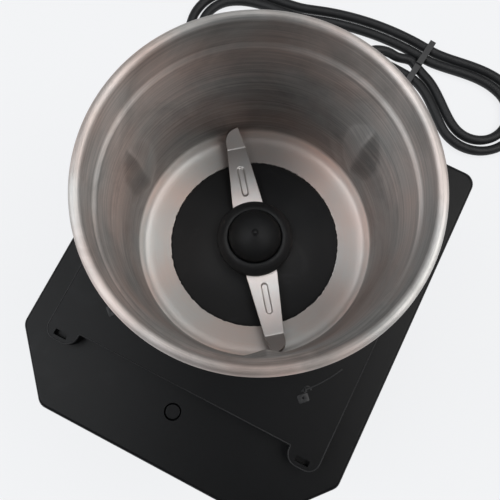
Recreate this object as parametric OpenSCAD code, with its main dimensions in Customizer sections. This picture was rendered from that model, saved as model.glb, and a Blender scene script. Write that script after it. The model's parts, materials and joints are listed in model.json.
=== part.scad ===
// Electric spice grinder: a motor base with a raised deck, a removable steel
// grinding bowl with its own blade, and a mains lead tied in a hank behind it.
// Millimetres, +Z up. The origin is on the table under the middle of the base.

/* [Base] */
// Width of the base across X
base_w = 140; // [128:1:160]
// Depth of the base along Y
base_d = 164; // [156:1:190]
// Height of the shelf round the raised deck panel, above the table
shelf_z = 116; // [112:1:135]
// Wall of the base shell
shell_wall = 2.8; // [2:0.1:3.4]
// Height of the deck's own skirt above the shell's top edge
deck_skirt = 6; // [5:0.5:9]
// Plate thickness of the deck
deck_plate = 3; // [2.4:0.1:3.6]
// Width that each front corner cut takes off the front edge
corner_cut_x = 22; // [10:1:28]
// Depth that each front corner cut takes off the side
corner_cut_y = 25; // [10:1:30]
// Rounding of the base's corners in plan
corner_r = 5; // [3.5:0.5:8]
// Rounding of the deck's top edge
edge_r = 1.6; // [0.8:0.1:2.4]
// Distance of the bowl's axis behind the middle of the base
bowl_y = 10; // [4:1:14]
// Reach of the locating lip below the deck's skirt
lip_h = 4; // [2:0.5:8]
// Thickness of the locating lip
lip_t = 1.6; // [1:0.1:2.2]
// Gap of a moulded part in its seat
seat_gap = 0.2; // [0.1:0.05:0.4]

/* [Deck panel] */
// Rise of the panel above the shelf
panel_rise = 6; // [3:0.5:10]
// Width of the panel
panel_w = 118; // [108:1:124]
// Distance of the panel's front edge ahead of the bowl's axis
panel_front = 60.5; // [57:0.5:63]
// Distance of the panel's back edge behind the bowl's axis
panel_back = 62; // [52:0.5:66]
// Rounding of the panel's corners
panel_r = 5; // [3:0.5:6]
// Width of each front lobe
lobe_w = 13.5; // [11:0.5:20]
// Reach of each lobe ahead of the panel's front edge
lobe_reach = 6; // [5:0.5:8]
// Length of the slot in each lobe
lobe_slot_w = 5.5; // [3:0.5:7]
// Width of the slot in each lobe
lobe_slot_d = 2.2; // [1:0.2:3]

/* [Bowl socket] */
// Distance of the socket's wall inside the bowl's inner wall
socket_inset = 3.7; // [2.7:0.1:5]
// Depth of the socket below the panel's top
socket_depth = 14; // [12:0.5:15]
// Thickness of the socket's floor
socket_floor = 2.5; // [2:0.1:4]
// Thickness of the socket's wall outside the lock grooves
socket_wall = 3.1; // [2:0.1:3.4]
// Radial clearance of the bowl's spigot in the socket
spigot_gap = 0.6; // [0.4:0.05:0.9]
// Reach of each bayonet lug beyond the spigot
lug_reach = 3; // [2:0.25:3]
// Height of each bayonet lug
lug_h = 3; // [2:0.25:3.5]
// Height of the lugs above the socket's floor
lug_rise = 4.4; // [4:0.1:4.8]
// Angle that each bayonet lug covers
lug_angle = 18; // [12:1:22]
// Angle that the bowl turns from free to locked
twist_angle = 25; // [15:1:27]
// Clearance round the lugs in their slots
lug_gap = 0.5; // [0.4:0.05:0.7]
// Number of bayonet lugs and of dents in the bowl
lug_count = 3; // [3:1:3]
// Angle of the first lug and of the first dent
lug_first = 61; // [40:1:70]

/* [Seat ring] */
// Width of the rubber seat ring
seat_w = 6.2; // [5.6:0.1:10]
// Thickness of the seat ring
seat_t = 2; // [1.5:0.1:2.4]
// Height of the nibs that key the ring to the bowl
nib_h = 1.2; // [0.8:0.1:1.6]
// Angle that each nib covers
nib_angle = 8; // [5:1:10]

/* [Bowl] */
// Reach of the rolled rim beyond the bowl's inner wall
rim_out = 3.8; // [3.4:0.1:5.4]
// Radius of the roll itself
roll_r = 1.45; // [1:0.05:1.8]
// Height of the rim above the deck panel
rim_rise = 93; // [86:1:120]
// Inner radius of the bowl below its ledge
bowl_r = 41.2; // [40.8:0.1:41.6]
// Thickness of the steel
steel_t = 0.8; // [0.6:0.1:1]
// Depth of the bowl from rim to floor
bowl_depth = 75.5; // [70:0.5:77]
// Depth of the ledge below the rim
ledge_depth = 11.8; // [8:0.2:20]
// Step outwards at the ledge
ledge_step = 1.1; // [0.6:0.1:1.4]
// Rounding between the wall and the floor
floor_fillet = 3; // [1.5:0.5:4]
// Width of the steel floor round its hole
floor_w = 10.4; // [10:0.2:13]
// Radius of the ridge that each dent presses into the bowl
dent_r = 13.5; // [11:0.5:15]
// Depth of each dent
dent_depth = 2.6; // [1.5:0.1:3]
// Length of each dent
dent_len = 50; // [36:1:52]
// Height of the middle of each dent above the floor
dent_mid = 32; // [28:1:34]

/* [Bowl base] */
// Gap between the bowl's collar and the deck panel
collar_gap = 0.4; // [0.3:0.05:0.6]
// Reach of the plastic collar beyond the bowl's inner wall
collar_out = 3; // [2.6:0.1:3.5]
// Height that the collar covers of the steel wall
collar_cover = 6.5; // [4:0.5:10]
// Wall of the spigot
spigot_wall = 3.4; // [2.6:0.1:4]
// Thickness of the plate under the bowl
carrier_t = 3; // [2.4:0.2:3.6]
// Thickness of the bearing disc's flange
flange_t = 2.4; // [2:0.1:3]
// Width of the bearing disc's flange under the steel
flange_w = 4.5; // [3:0.1:4.6]
// Thickness of the silicone gasket
gasket_t = 0.8; // [0.5:0.1:1.2]
// Rise of the bearing disc towards its middle
disc_rise = 2.2; // [1:0.2:2.4]
// Radius of the bearing tube
tube_r = 10; // [9:0.5:11]
// Length of the bearing tube below the flange
tube_len = 9; // [7:0.5:9.5]
// Radius of the bowl screws' circle
bowl_screw_circle = 24; // [18:0.5:26]

/* [Blade] */
// Radius of the blade's shaft
blade_shaft_r = 3; // [2.5:0.25:3.5]
// Wall of the bronze bush
bush_wall = 3; // [2:0.25:3]
// Thickness of the blade
blade_t = 1.2; // [0.8:0.1:1.6]
// Height of the blade above the bearing disc's middle
blade_rise = 3.3; // [2.4:0.1:5]
// Width of each arm at the hub
arm_root_w = 11; // [8:0.5:12]
// Width of each arm at its bend
arm_tip_w = 6.8; // [4:0.2:8]
// Radius where each tip bends up
arm_bend_r = 34; // [28:0.5:35]
// Length of each bent tip
arm_tip_len = 7; // [4:0.5:7.4]
// Angle of each bent tip
arm_tip_angle = 38; // [25:1:45]
// Angle of the blade seen from above
blade_turn = 128; // [0:1:180]
// Length of the slot in each arm
arm_slot_len = 10.5; // [5:0.5:12]
// Width of the slot in each arm
arm_slot_w = 2; // [1.2:0.1:3]
// Radius of the hub ring at its foot
hub_r = 13.5; // [12.5:0.25:15]
// Height of the hub ring
hub_h = 5.1; // [4:0.1:6]
// Radius of the hub cap
cap_r = 9.1; // [7:0.1:9.2]
// Height of the cap's dome
cap_dome = 6; // [4:0.25:8]

/* [Coupling] */
// Outer radius of both couplings
coupling_r = 9.5; // [8:0.25:10]
// Thickness of each coupling's hub
coupling_t = 4.1; // [3.4:0.1:4.4]
// Height of the coupling's dogs
dog_h = 4; // [3:0.1:4.4]
// Angle that each dog covers
dog_angle = 48; // [30:1:56]
// Clearance between a dog and the facing hub
dog_gap = 0.4; // [0.2:0.05:0.6]
// Gap between the motor's coupling and the shaft seal
coupling_lift = 1.8; // [1:0.1:2]

/* [Motor] */
// Radius of the motor shaft
motor_shaft_r = 4; // [3.5:0.25:4]
// Outer width of the stator
stator_w = 62; // [60:1:68]
// Outer depth of the stator
stator_d = 56; // [54:1:64]
// Height of the stator's stack
stack_h = 26; // [20:1:28]
// Height of the stack's underside above the table
stack_z = 44; // [43:1:48]
// Radius of the stator's bore
bore_r = 17; // [16:0.5:18]
// Air gap round the armature
air_gap = 0.5; // [0.4:0.1:0.8]
// Overhang of the field coils beyond the stack
coil_over = 7; // [5:0.5:7]
// Overhang of the armature's end windings
winding_over = 5.5; // [4:0.5:6]
// Radius of the commutator
commutator_r = 9; // [8:0.5:10]
// Length of the commutator
commutator_len = 9; // [8:0.5:9.5]
// Radius of the cooling fan
fan_r = 21.5; // [18:0.5:22]
// Height of the fan's blades
fan_h = 6; // [4:0.5:6]
// Number of fan blades
fan_blades = 9; // [5:1:12]
// Distance of the motor's bracket legs from the shaft
leg_x = 27.5; // [27:0.25:29]
// Radius of each bracket leg
leg_r = 3.2; // [3:0.1:3.4]
// Thickness of the bracket plates
bracket_t = 3; // [2.5:0.25:4]
// Outer radius of the ball bearing
ball_r = 11; // [10:0.5:11]
// Width of the ball bearing
ball_w = 7; // [6:0.5:7]
// Height of the rubber motor mounts
mount_h = 4; // [3:0.5:5]
// Half spacing of the motor mounts along X
mount_x = 24; // [22:0.5:26]
// Half spacing of the motor mounts along Y
mount_y = 19; // [17:0.5:20]

/* [Interlock] */
// Distance of the plunger ahead of the bowl's axis
plunger_front = 70.5; // [69.5:0.5:72]
// Radius of the plunger's head
plunger_r = 2.9; // [2.4:0.1:3.2]
// Gap round the plunger's head
plunger_ring = 0.5; // [0.3:0.1:0.7]
// Radius of the plunger's guided body
guide_r = 4.9; // [4.2:0.1:5.2]
// Length of the plunger's guided body
guide_len = 8.5; // [6:0.5:9]
// Travel of the plunger
plunger_travel = 4; // [2:0.25:4]
// Radius of the plunger's stem
stem_r = 1.6; // [1.2:0.1:2]
// Length of the stem below the guided body
stem_len = 22; // [21:0.5:23]
// Wire radius of the return spring
spring_wire = 0.4; // [0.3:0.05:0.5]
// Number of the spring's curls
spring_curls = 5; // [3:1:7]
// Length of the switch
switch_l = 28; // [26:0.5:30]
// Height of the switch
switch_h = 16; // [12:0.5:18]
// Thickness of the switch
switch_t = 10; // [8:0.5:10.5]
// Distance of the lever's pivot from the plunger's axis
lever_arm = 15; // [14:0.5:15]

/* [Fasteners and feet] */
// Height of the rubber feet below the base
foot_h = 4; // [2:0.5:6]
// Radius of the rubber feet
foot_r = 7; // [5:0.5:8]
// Thickness of the bottom cover
cover_t = 3; // [2.5:0.25:4]
// Radius of the cover screws
screw_r = 1.7; // [1.4:0.1:2]
// Radius of the screws' heads
screw_head_r = 3.2; // [2.6:0.1:3.5]
// Radius of the deck's screw posts
post_r = 4.5; // [4:0.25:5]
// Inset of the posts from the shell's inner face
post_inset = 6; // [5.5:0.25:8]
// Number of cooling slots in each row of the bottom cover
vent_count = 6; // [3:1:8]
// Width of each cooling slot
vent_w = 2.6; // [1.5:0.1:3]

/* [Mains lead] */
// Diameter of the mains lead
cord_d = 6; // [6:1:6]
// Distance of the lead's exit from the base's middle
exit_x = -30; // [-30:1:-30]
// Length of the tapered strain relief outside the base
relief_len = 25; // [20:1:30]
// Length of the plug's body
plug_len = 27; // [24:1:30]
// Length of the plug's pins
pin_len = 16; // [14:0.5:18]

/* [Hidden] */
$fn = 96;
eps = 0.01;
// clearance of a shaft in its bush, and of pressed pieces on one body
run_gap = 0.05;
press_gap = 0.02;

black = [0.13, 0.13, 0.14];
dark_grey = [0.22, 0.22, 0.23];
steel = [0.72, 0.72, 0.70];
bright = [0.80, 0.80, 0.78];
copper = [0.72, 0.42, 0.25];
brass = [0.78, 0.66, 0.36];
rubber_black = [0.09, 0.09, 0.10];
lamination = [0.45, 0.46, 0.48];
cord_black = [0.16, 0.16, 0.18];

half_w = base_w / 2;
front_y = -base_d / 2;
back_y = base_d / 2;
cut_len = sqrt(corner_cut_x * corner_cut_x + corner_cut_y * corner_cut_y);
panel_z = shelf_z + panel_rise;
rim_z = panel_z + rim_rise;
skirt_z = shelf_z - deck_skirt;
socket_z = panel_z - socket_depth;
under_z = socket_z - socket_floor;
rim_r = bowl_r + rim_out;
collar_r = bowl_r + collar_out;
floor_hole_r = bowl_r - floor_w;
socket_r = bowl_r - socket_inset;
spigot_r = socket_r - spigot_gap;
seat_r_out = socket_r - 0.8;
groove_r = spigot_r + lug_reach + lug_gap;
well_r = groove_r + socket_wall;
cover_z = foot_h + cover_t;
post_x = half_w - shell_wall - post_inset;
post_back = back_y - shell_wall - post_inset;
post_front = front_y + corner_cut_y + post_inset;
seat_z = socket_z + seat_gap;
spigot_z = seat_z + seat_t + 0.3;
lug_z = socket_z + lug_rise;
floor_z = rim_z - bowl_depth;
cup_foot = floor_z - steel_t;
flange_z = cup_foot - gasket_t - flange_t;
carrier_z = flange_z - carrier_t;
flange_r = floor_hole_r + flange_w;
ledge_z = rim_z - ledge_depth;
disc_top = floor_z + disc_rise;
blade_z = disc_top + blade_rise;
hub_z = blade_z + blade_t;
bush_r = blade_shaft_r + bush_wall;
tube_z = flange_z - tube_len;
washer_t = 0.8;
cap_floor = 1.8;
bowl_screw_r = 1.3;
seal_z = under_z + 0.3;
seal_h = 5;
seal_r = coupling_r - 0.1;
seal_seat = 3;
seal_wall = 3;
drive_z = seal_z + seal_h + coupling_lift;
dog_z = drive_z + coupling_t;
driven_z = dog_z + dog_h + dog_gap;
mount_post = 8.5;
mount_post_r = 4.2;
mount_screw_r = 1.35;
mount_z = under_z - mount_post;
bracket_top = mount_z - mount_h;
bracket_z = bracket_top - bracket_t;
stack_top = stack_z + stack_h;
lower_leg = 28;
lower_plate_z = stack_z - lower_leg;
plate_margin = 5;
bush_wall_low = 3;
bush_r_low = motor_shaft_r + bush_wall_low;
bush_down = 3;
bush_up = 6;
boss_wall = 3;
motor_screw_r = 1.6;
motor_head_r = 3;
motor_head_h = 2.4;
riser_h = 4.5;
commutator_z = stack_z - riser_h - winding_over - commutator_len;
brush_z = commutator_z + commutator_len / 2;
brush_w = 5;
brush_h = 7;
brush_len = 13;
holder_len = 15;
holder_wall = 0.8;
holder_foot = 13;
coil_r = 23.6;
coil_gap = 0.4;
fan_z = stack_top + coil_over + 0.6;
fan_disc_t = 1.4;
fan_blade_t = 1.2;
plunger_y = bowl_y - plunger_front;
guide_top = shelf_z - deck_plate - 0.3;
guide_bottom = guide_top - guide_len;
stem_z = guide_bottom - stem_len;
spring_room = 13;
tower_z = guide_bottom - spring_room;
lever_top = stem_z - 0.3;
pivot_r = 1.8;
pin_r = 0.8;
pivot_z = lever_top - pivot_r;
pivot_h = 4.5;
switch_z = pivot_z - pivot_h - switch_h;
switch_left = -lever_arm - 2;
switch_screw_r = 1.05;
bracket_x = 13;
plate_t = 2;
plate_z = tower_z - plate_t;
tower_wall = 2.6;
bracket_post_r = 3.5;
foot_stem_r = 3;
foot_inset = 8;
foot_back = 14;
cover_screw_len = 15;
head_sink = 1.6;
relief_z = 16;
relief_neck_r = 5;

function unit(v) = v / norm(v);
function around(r, a) = [r * cos(a), r * sin(a)];

// The base's outline in plan, inset by e
function plan(e) = let (
        nose = half_w - corner_cut_x - e * (cut_len - corner_cut_x) / corner_cut_y,
        cheek = front_y + corner_cut_y + e * (cut_len - corner_cut_y) / corner_cut_x)
    [[-nose, front_y + e], [nose, front_y + e], [half_w - e, cheek],
     [half_w - e, back_y - e], [e - half_w, back_y - e], [e - half_w, cheek]];

// A convex outline whose corners are true arcs of radius r
module rounded(points, r) {
    n = len(points);
    function into(i) = unit(points[(i + n - 1) % n] - points[i]);
    function out(i) = unit(points[(i + 1) % n] - points[i]);
    function half(i) = acos(into(i) * out(i)) / 2;
    polygon([for (i = [0:n - 1]) each [
        points[i] + into(i) * r / tan(half(i)),
        points[i] + out(i) * r / tan(half(i))]]);
    for (i = [0:n - 1])
        translate(points[i] + unit(into(i) + out(i)) * r / sin(half(i))) circle(r);
}

module plan_shape(e) rounded(plan(e), max(corner_r - e, 1));

module box_shape(x0, x1, y0, y1, r)
    rounded([[x0, y0], [x1, y0], [x1, y1], [x0, y1]], r);

// A ring or disc between two heights
module ring(r_in, r_out, z0, z1) {
    translate([0, 0, z0]) difference() {
        cylinder(h = z1 - z0, r = r_out);
        if (r_in > 0) translate([0, 0, -1]) cylinder(h = z1 - z0 + 2, r = r_in);
    }
}

// A flat sector of a ring, from angle a0 to a1, under 180 degrees
module sector(r_in, r_out, a0, a1) {
    reach = 2 * r_out;
    intersection() {
        difference() {
            circle(r_out);
            if (r_in > 0) circle(r_in);
        }
        polygon([[0, 0], for (k = [0:3]) around(reach, a0 + (a1 - a0) * k / 3)]);
    }
}

module sector_block(r_in, r_out, a0, a1, z0, z1)
    translate([0, 0, z0]) linear_extrude(z1 - z0) sector(r_in, r_out, a0, a1);

module at_axis() translate([0, bowl_y, 0]) children();

module at_posts()
    for (x = [-post_x, post_x], y = [post_front, post_back])
        translate([x, y, 0]) children();

module at_mounts()
    at_axis() for (x = [-mount_x, mount_x], y = [-mount_y, mount_y])
        translate([x, y, 0]) children();

// ---- base housing ----

module base_shell() color(black) {
    ledge = 2;
    difference() {
        translate([0, 0, foot_h]) linear_extrude(skirt_z - foot_h) plan_shape(0);
        difference() {
            translate([0, 0, foot_h - 1]) linear_extrude(skirt_z - foot_h + 2)
                plan_shape(shell_wall);
            translate([0, 0, cover_z]) linear_extrude(ledge) difference() {
                plan_shape(shell_wall - eps);
                plan_shape(shell_wall + ledge);
                at_posts() circle(post_r + 2);
            }
        }
        translate([exit_x, back_y + 1, relief_z]) rotate([90, 0, 0])
            cylinder(h = shell_wall + 2, r = relief_neck_r + press_gap);
    }
}

// The raised panel's outline: a rectangle with a lobe at each front corner
module panel_shape() {
    half = panel_w / 2;
    front = bowl_y - panel_front;
    tip = front - lobe_reach;
    back = bowl_y + panel_back;
    inner = half - lobe_w;
    r = panel_r;
    polygon([
        [-half, back - r], [-half, tip + r], [r - half, tip], [-inner - r, tip],
        [-inner, tip + r], [-inner, front], [inner, front], [inner, tip + r],
        [inner + r, tip], [half - r, tip], [half, tip + r], [half, back - r],
        [half - r, back], [r - half, back]]);
    for (side = [-1, 1]) {
        translate([side * (half - r), back - r]) circle(r);
        for (x = [inner + r, half - r]) translate([side * x, tip + r]) circle(r);
    }
}

// The rounded top edge of the shelf, a hair inside the walls below it
module deck_top() {
    steps = 4;
    hair = 0.05;
    hull() for (k = [0:steps]) {
        a = 90 * k / steps;
        translate([0, 0, shelf_z - edge_r + edge_r * sin(a) - eps])
            linear_extrude(eps) rounded(plan(hair + edge_r * (1 - cos(a))), corner_r, $fn = 32);
    }
}

module guide_towers() {
    tower_top = shelf_z - deck_plate;
    translate([0, plunger_y, 0]) {
        ring(0, guide_r + tower_wall, tower_z, tower_top + eps);
        for (x = [-bracket_x, bracket_x]) translate([x, 0, 0])
            ring(0, bracket_post_r, tower_z, tower_top + eps);
    }
}

module deck_cover() color(black) {
    panel_half = panel_w / 2;
    panel_front_y = bowl_y - panel_front;
    cavity_wall = 3;
    difference() {
        union() {
            difference() {
                union() {
                    translate([0, 0, skirt_z]) linear_extrude(deck_skirt - edge_r)
                        plan_shape(0);
                    deck_top();
                    translate([0, 0, shelf_z - edge_r]) linear_extrude(panel_rise + edge_r)
                        panel_shape();
                    translate([0, 0, skirt_z - lip_h]) linear_extrude(lip_h + eps)
                        plan_shape(shell_wall + seat_gap);
                }
                translate([0, 0, skirt_z - lip_h - 1])
                    linear_extrude(lip_h + deck_skirt - deck_plate + 1)
                    plan_shape(shell_wall + seat_gap + lip_t);
                translate([0, 0, skirt_z]) linear_extrude(panel_z - deck_plate - skirt_z)
                    box_shape(cavity_wall - panel_half, panel_half - cavity_wall,
                        panel_front_y + cavity_wall, bowl_y + panel_back - cavity_wall,
                        panel_r);
            }
            at_axis() ring(0, well_r, under_z, panel_z - eps);
            at_posts() ring(0, post_r, cover_z, shelf_z - deck_plate + eps);
            at_mounts() ring(0, mount_post_r, mount_z, under_z + eps);
            guide_towers();
        }
        socket_cut();
        at_posts() ring(0, screw_r - 0.1, cover_z - 1, cover_z + cover_screw_len + 3);
        at_mounts() ring(0, mount_screw_r + 0.05, mount_z - 1, under_z - 1);
        translate([0, plunger_y, 0]) {
            ring(0, guide_r + 0.1, tower_z - 1, guide_top + 0.3);
            ring(0, plunger_r + plunger_ring, guide_top, shelf_z + 1);
            for (x = [-bracket_x, bracket_x]) translate([x, 0, 0])
                ring(0, 1.1, tower_z - 1, tower_z + 10);
        }
        for (side = [-1, 1])
            translate([side * (panel_half - lobe_w / 2) - lobe_slot_w / 2,
                panel_front_y - lobe_reach + 2, panel_z - 3])
                cube([lobe_slot_w, lobe_slot_d, 4]);
    }
    at_axis() difference() {
        ring(seal_r + press_gap, seal_r + seal_wall, socket_z - eps, socket_z + seal_seat);
    }
}

// The socket, its entry slots for the lugs and the grooves that they turn into
module socket_cut() {
    slot = lug_angle / 2 + 1.5;
    at_axis() {
        ring(0, socket_r, socket_z, panel_z + 1);
        ring(0, seal_r + press_gap, under_z - 1, socket_z + 1);
        for (k = [0:lug_count - 1]) rotate(lug_first + 360 / lug_count * k) {
            sector_block(socket_r - 1, groove_r, -slot, slot,
                lug_z - lug_gap, panel_z + 1);
            sector_block(socket_r - 1, groove_r, -slot, slot + twist_angle,
                lug_z - lug_gap, lug_z + lug_h + lug_gap);
        }
    }
}

module bottom_cover() color(black) {
    pitch = 2.4 * vent_w;
    vent_len = 30;
    difference() {
        translate([0, 0, foot_h]) linear_extrude(cover_t)
            plan_shape(shell_wall + seat_gap);
        at_posts() {
            ring(0, screw_r + 0.2, foot_h - 1, cover_z + 1);
            ring(0, screw_head_r + 0.2, foot_h - 1, foot_h + head_sink);
        }
        at_feet() ring(0, foot_stem_r + press_gap, foot_h - 1, cover_z + 1);
        for (row = [-1, 1], k = [0:vent_count - 1])
            translate([row * 26 - vent_len / 2,
                bowl_y + (k - (vent_count - 1) / 2) * pitch - vent_w / 2, foot_h - 1])
                cube([vent_len, vent_w, cover_t + 2]);
    }
}

module at_feet()
    for (x = [-1, 1], y = [-1, 1])
        translate([x * (post_x - foot_inset), (y < 0 ? post_front : post_back) - y * foot_back, 0])
            children();

module rubber_feet() color(rubber_black) at_feet() {
    ring(0, foot_r, 0, foot_h);
    ring(0, foot_stem_r, foot_h - eps, cover_z);
}

module cover_screws() color(steel) at_posts() {
    ring(0, screw_head_r, foot_h + 0.1, foot_h + head_sink);
    ring(0, screw_r - 0.12, foot_h + head_sink - eps, cover_z + cover_screw_len);
}

// ---- motor, upright on the bowl's axis ----

module at_legs() for (x = [-leg_x, leg_x]) translate([x, 0, 0]) children();

module field_stator() color(lamination) at_axis() difference() {
    translate([0, 0, stack_z]) linear_extrude(stack_h) intersection() {
        square([stator_w, stator_d], center = true);
        circle(stator_w / 2 + 6);
    }
    translate([0, 0, stack_z - 1]) {
        cylinder(h = stack_h + 2, r = bore_r);
        linear_extrude(stack_h + 2) for (a = [0, 180])
            sector(bore_r - 1, coil_r + 0.3, a - 34, a + 34);
        at_legs() cylinder(h = stack_h + 2, r = motor_screw_r + 0.1);
    }
}

module field_coils() color(copper) at_axis() for (a = [0, 180]) rotate(a) {
    inner = bore_r + 1;
    for (side = [[5, 32], [148, 175]])
        sector_block(inner, coil_r, side[0], side[1],
            stack_z - coil_over, stack_top + coil_over);
    for (z = [stack_z - coil_over, stack_top + coil_gap])
        for (part = [[31.9, 91], [90, 148.1]])
            sector_block(inner, coil_r, part[0], part[1], z, z + coil_over - coil_gap);
}

module bracket_bar(z) translate([0, 0, z]) linear_extrude(bracket_t)
    box_shape(-leg_x - plate_margin, leg_x + plate_margin,
        -mount_y - plate_margin, mount_y + plate_margin, plate_margin - 1);

module lower_bracket() color(steel) at_axis() difference() {
    union() {
        bracket_bar(lower_plate_z);
        ring(0, bush_r_low + boss_wall, lower_plate_z - bush_down, lower_plate_z + bush_up);
        at_legs() ring(0, leg_r, lower_plate_z, stack_z);
    }
    ring(0, bush_r_low + press_gap, lower_plate_z - bush_down - 1, lower_plate_z + bush_up + 1);
    at_legs() ring(0, motor_screw_r + 0.1, lower_plate_z - 1, stack_z + 1);
}

module upper_bracket() color(steel) at_axis() difference() {
    union() {
        bracket_bar(bracket_z);
        ring(0, ball_r + boss_wall, bracket_z - 3, bracket_z + ball_w - 1);
        at_legs() ring(0, leg_r, stack_top, bracket_z + eps);
    }
    ring(0, ball_r + press_gap, bracket_z - 2, bracket_z + ball_w);
    ring(0, ball_r - 3, bracket_z - 4, bracket_z);
    at_legs() ring(0, motor_screw_r + 0.1, stack_top - 1, bracket_top + 1);
    for (x = [-mount_x, mount_x], y = [-mount_y, mount_y])
        translate([x, y, 0]) ring(0, 2, bracket_z - 1, bracket_top + 1);
}

module motor_screws() color(steel) at_axis() at_legs() {
    ring(0, motor_head_r, bracket_top, bracket_top + motor_head_h);
    ring(0, motor_screw_r, lower_plate_z - bush_down, bracket_top + eps);
    ring(0, motor_head_r, lower_plate_z - motor_head_h, lower_plate_z);
}

module lower_bush() color(brass) at_axis()
    ring(motor_shaft_r + run_gap, bush_r_low, lower_plate_z - bush_down,
        lower_plate_z + bush_up);

module ball_bearing() color(bright) at_axis()
    ring(motor_shaft_r + run_gap, ball_r, bracket_z - 2, bracket_z - 2 + ball_w);

module motor_mounts() color(rubber_black) at_mounts()
    ring(1.9, 4, bracket_top, mount_z);

module mount_screws() color(steel) at_mounts() {
    ring(0, 3.2, bracket_z - 1.8, bracket_z);
    ring(0, mount_screw_r, bracket_z - eps, under_z - 2.5);
}

module at_brushes() at_axis() for (a = [90, 270]) rotate(a) children();

module carbon_brushes() color(dark_grey) at_brushes()
    translate([commutator_r + 0.3, -brush_w / 2, brush_z - brush_h / 2])
        cube([brush_len, brush_w, brush_h]);

module brush_holders() color(brass) at_brushes() {
    near = commutator_r + 2;
    wall = holder_wall + press_gap;
    foot_z = lower_plate_z + bracket_t;
    foot_top = brush_z - brush_h / 2 - wall;
    translate([near, 0, brush_z]) difference() {
        translate([0, -brush_w / 2 - wall, -brush_h / 2 - wall])
            cube([holder_len, brush_w + 2 * wall, brush_h + 2 * wall]);
        translate([-1, -brush_w / 2 - press_gap, -brush_h / 2 - press_gap])
            cube([holder_len, brush_w + 2 * press_gap, brush_h + 2 * press_gap]);
    }
    translate([near, -brush_w / 2, foot_z]) difference() {
        cube([holder_foot, brush_w, foot_top - foot_z + eps]);
        translate([3, -1, 2]) cube([holder_foot - 6, brush_w + 2, foot_top - foot_z - 4]);
    }
}

module shaft_seal() color(rubber_black) at_axis()
    ring(motor_shaft_r + 0.1, seal_r, seal_z, seal_z + seal_h);

module motor_shaft() color(bright) at_axis() {
    ring(0, motor_shaft_r, lower_plate_z - 4, dog_z + 2.5);
}

module armature_core() color(lamination) at_axis() difference() {
    ring(motor_shaft_r + press_gap, bore_r - air_gap, stack_z, stack_top);
    for (k = [0:11]) rotate(30 * k) translate([bore_r - 2.4, 0, stack_z - 1])
        cylinder(h = stack_h + 2, r = 1.5, $fn = 24);
}

module armature_windings() color(copper) at_axis() {
    for (z = [stack_z - winding_over, stack_top])
        ring(motor_shaft_r + 2, bore_r - 2.6, z, z + winding_over);
}

module commutator() color(copper) at_axis() {
    ring(motor_shaft_r + press_gap, commutator_r, commutator_z,
        commutator_z + commutator_len);
    ring(motor_shaft_r + press_gap, commutator_r + 1.2,
        commutator_z + commutator_len - eps, stack_z - winding_over);
}

module cooling_fan() color(dark_grey) at_axis() {
    hub = motor_shaft_r + 3;
    ring(motor_shaft_r + press_gap, fan_r, fan_z, fan_z + fan_disc_t);
    ring(motor_shaft_r + press_gap, hub, fan_z, fan_z + fan_h);
    for (k = [0:fan_blades - 1]) rotate(360 / fan_blades * k)
        translate([hub - 0.5, -fan_blade_t / 2, fan_z + 1])
            cube([fan_r - hub - 0.5, fan_blade_t, fan_h - 1]);
}

// A coupling hub with two dogs that stand up from it
module coupling(bore) {
    ring(bore, coupling_r, 0, coupling_t);
    for (a = [0, 180])
        sector_block(coupling_r - 4.4, coupling_r - 0.4, a - dog_angle / 2,
            a + dog_angle / 2, coupling_t - 1, coupling_t + dog_h);
}

module drive_coupling() color(dark_grey) at_axis()
    translate([0, 0, drive_z]) coupling(motor_shaft_r + press_gap);

module driven_coupling() color(dark_grey) at_axis()
    translate([0, 0, driven_z + coupling_t]) rotate([180, 0, 90])
        coupling(blade_shaft_r + press_gap);

// ---- interlock plunger and the switch below it ----

module at_plunger() translate([0, plunger_y, 0]) children();

module interlock_plunger() color(dark_grey) at_plunger() {
    ring(0, plunger_r, guide_top - eps, shelf_z - 0.4);
    ring(0, guide_r, guide_bottom, guide_top);
    ring(0, stem_r, stem_z + stem_r, guide_bottom + eps);
    translate([0, 0, stem_z + stem_r]) sphere(stem_r, $fn = 32);
}

function coil_point(u, r, z0, z1, curls) =
    [r * cos(360 * curls * u), r * sin(360 * curls * u), z0 + (z1 - z0) * u];

module plunger_spring() color(bright) at_plunger() {
    per_curl = 8;
    count = spring_curls * per_curl;
    r = guide_r - spring_wire - 0.7;
    tube([for (i = [0:count]) coil_point(i / count, r, tower_z + spring_wire + 0.2,
        guide_bottom - spring_wire - 0.2, spring_curls)], spring_wire, 6);
}

module switch_bracket() color(steel) at_plunger() {
    back = switch_t / 2 + 0.1;
    half = bracket_x + 4;
    difference() {
        union() {
            translate([-half, -6, plate_z]) cube([2 * half, back + 8, plate_t]);
            translate([-half, back, switch_z])
                cube([2 * half, plate_t, plate_z - switch_z + eps]);
        }
        ring(0, stem_r + 0.1, plate_z - 1, tower_z + 1);
        for (x = [-bracket_x, bracket_x]) translate([x, 0, 0])
            ring(0, 1.5, plate_z - 1, tower_z + 1);
        at_switch_holes() rotate([-90, 0, 0])
            cylinder(h = 20, r = switch_screw_r + 0.15, $fn = 32);
    }
}

module bracket_screws() color(steel) at_plunger()
    for (x = [-bracket_x, bracket_x]) translate([x, 0, 0]) {
        ring(0, 2.6, plate_z - 1.6, plate_z);
        ring(0, 1.05, plate_z - eps, tower_z + 8);
    }

module at_switch_holes()
    for (x = [switch_left + 4, switch_left + switch_l - 4])
        translate([x, -5, switch_z + 4]) children();

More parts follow.
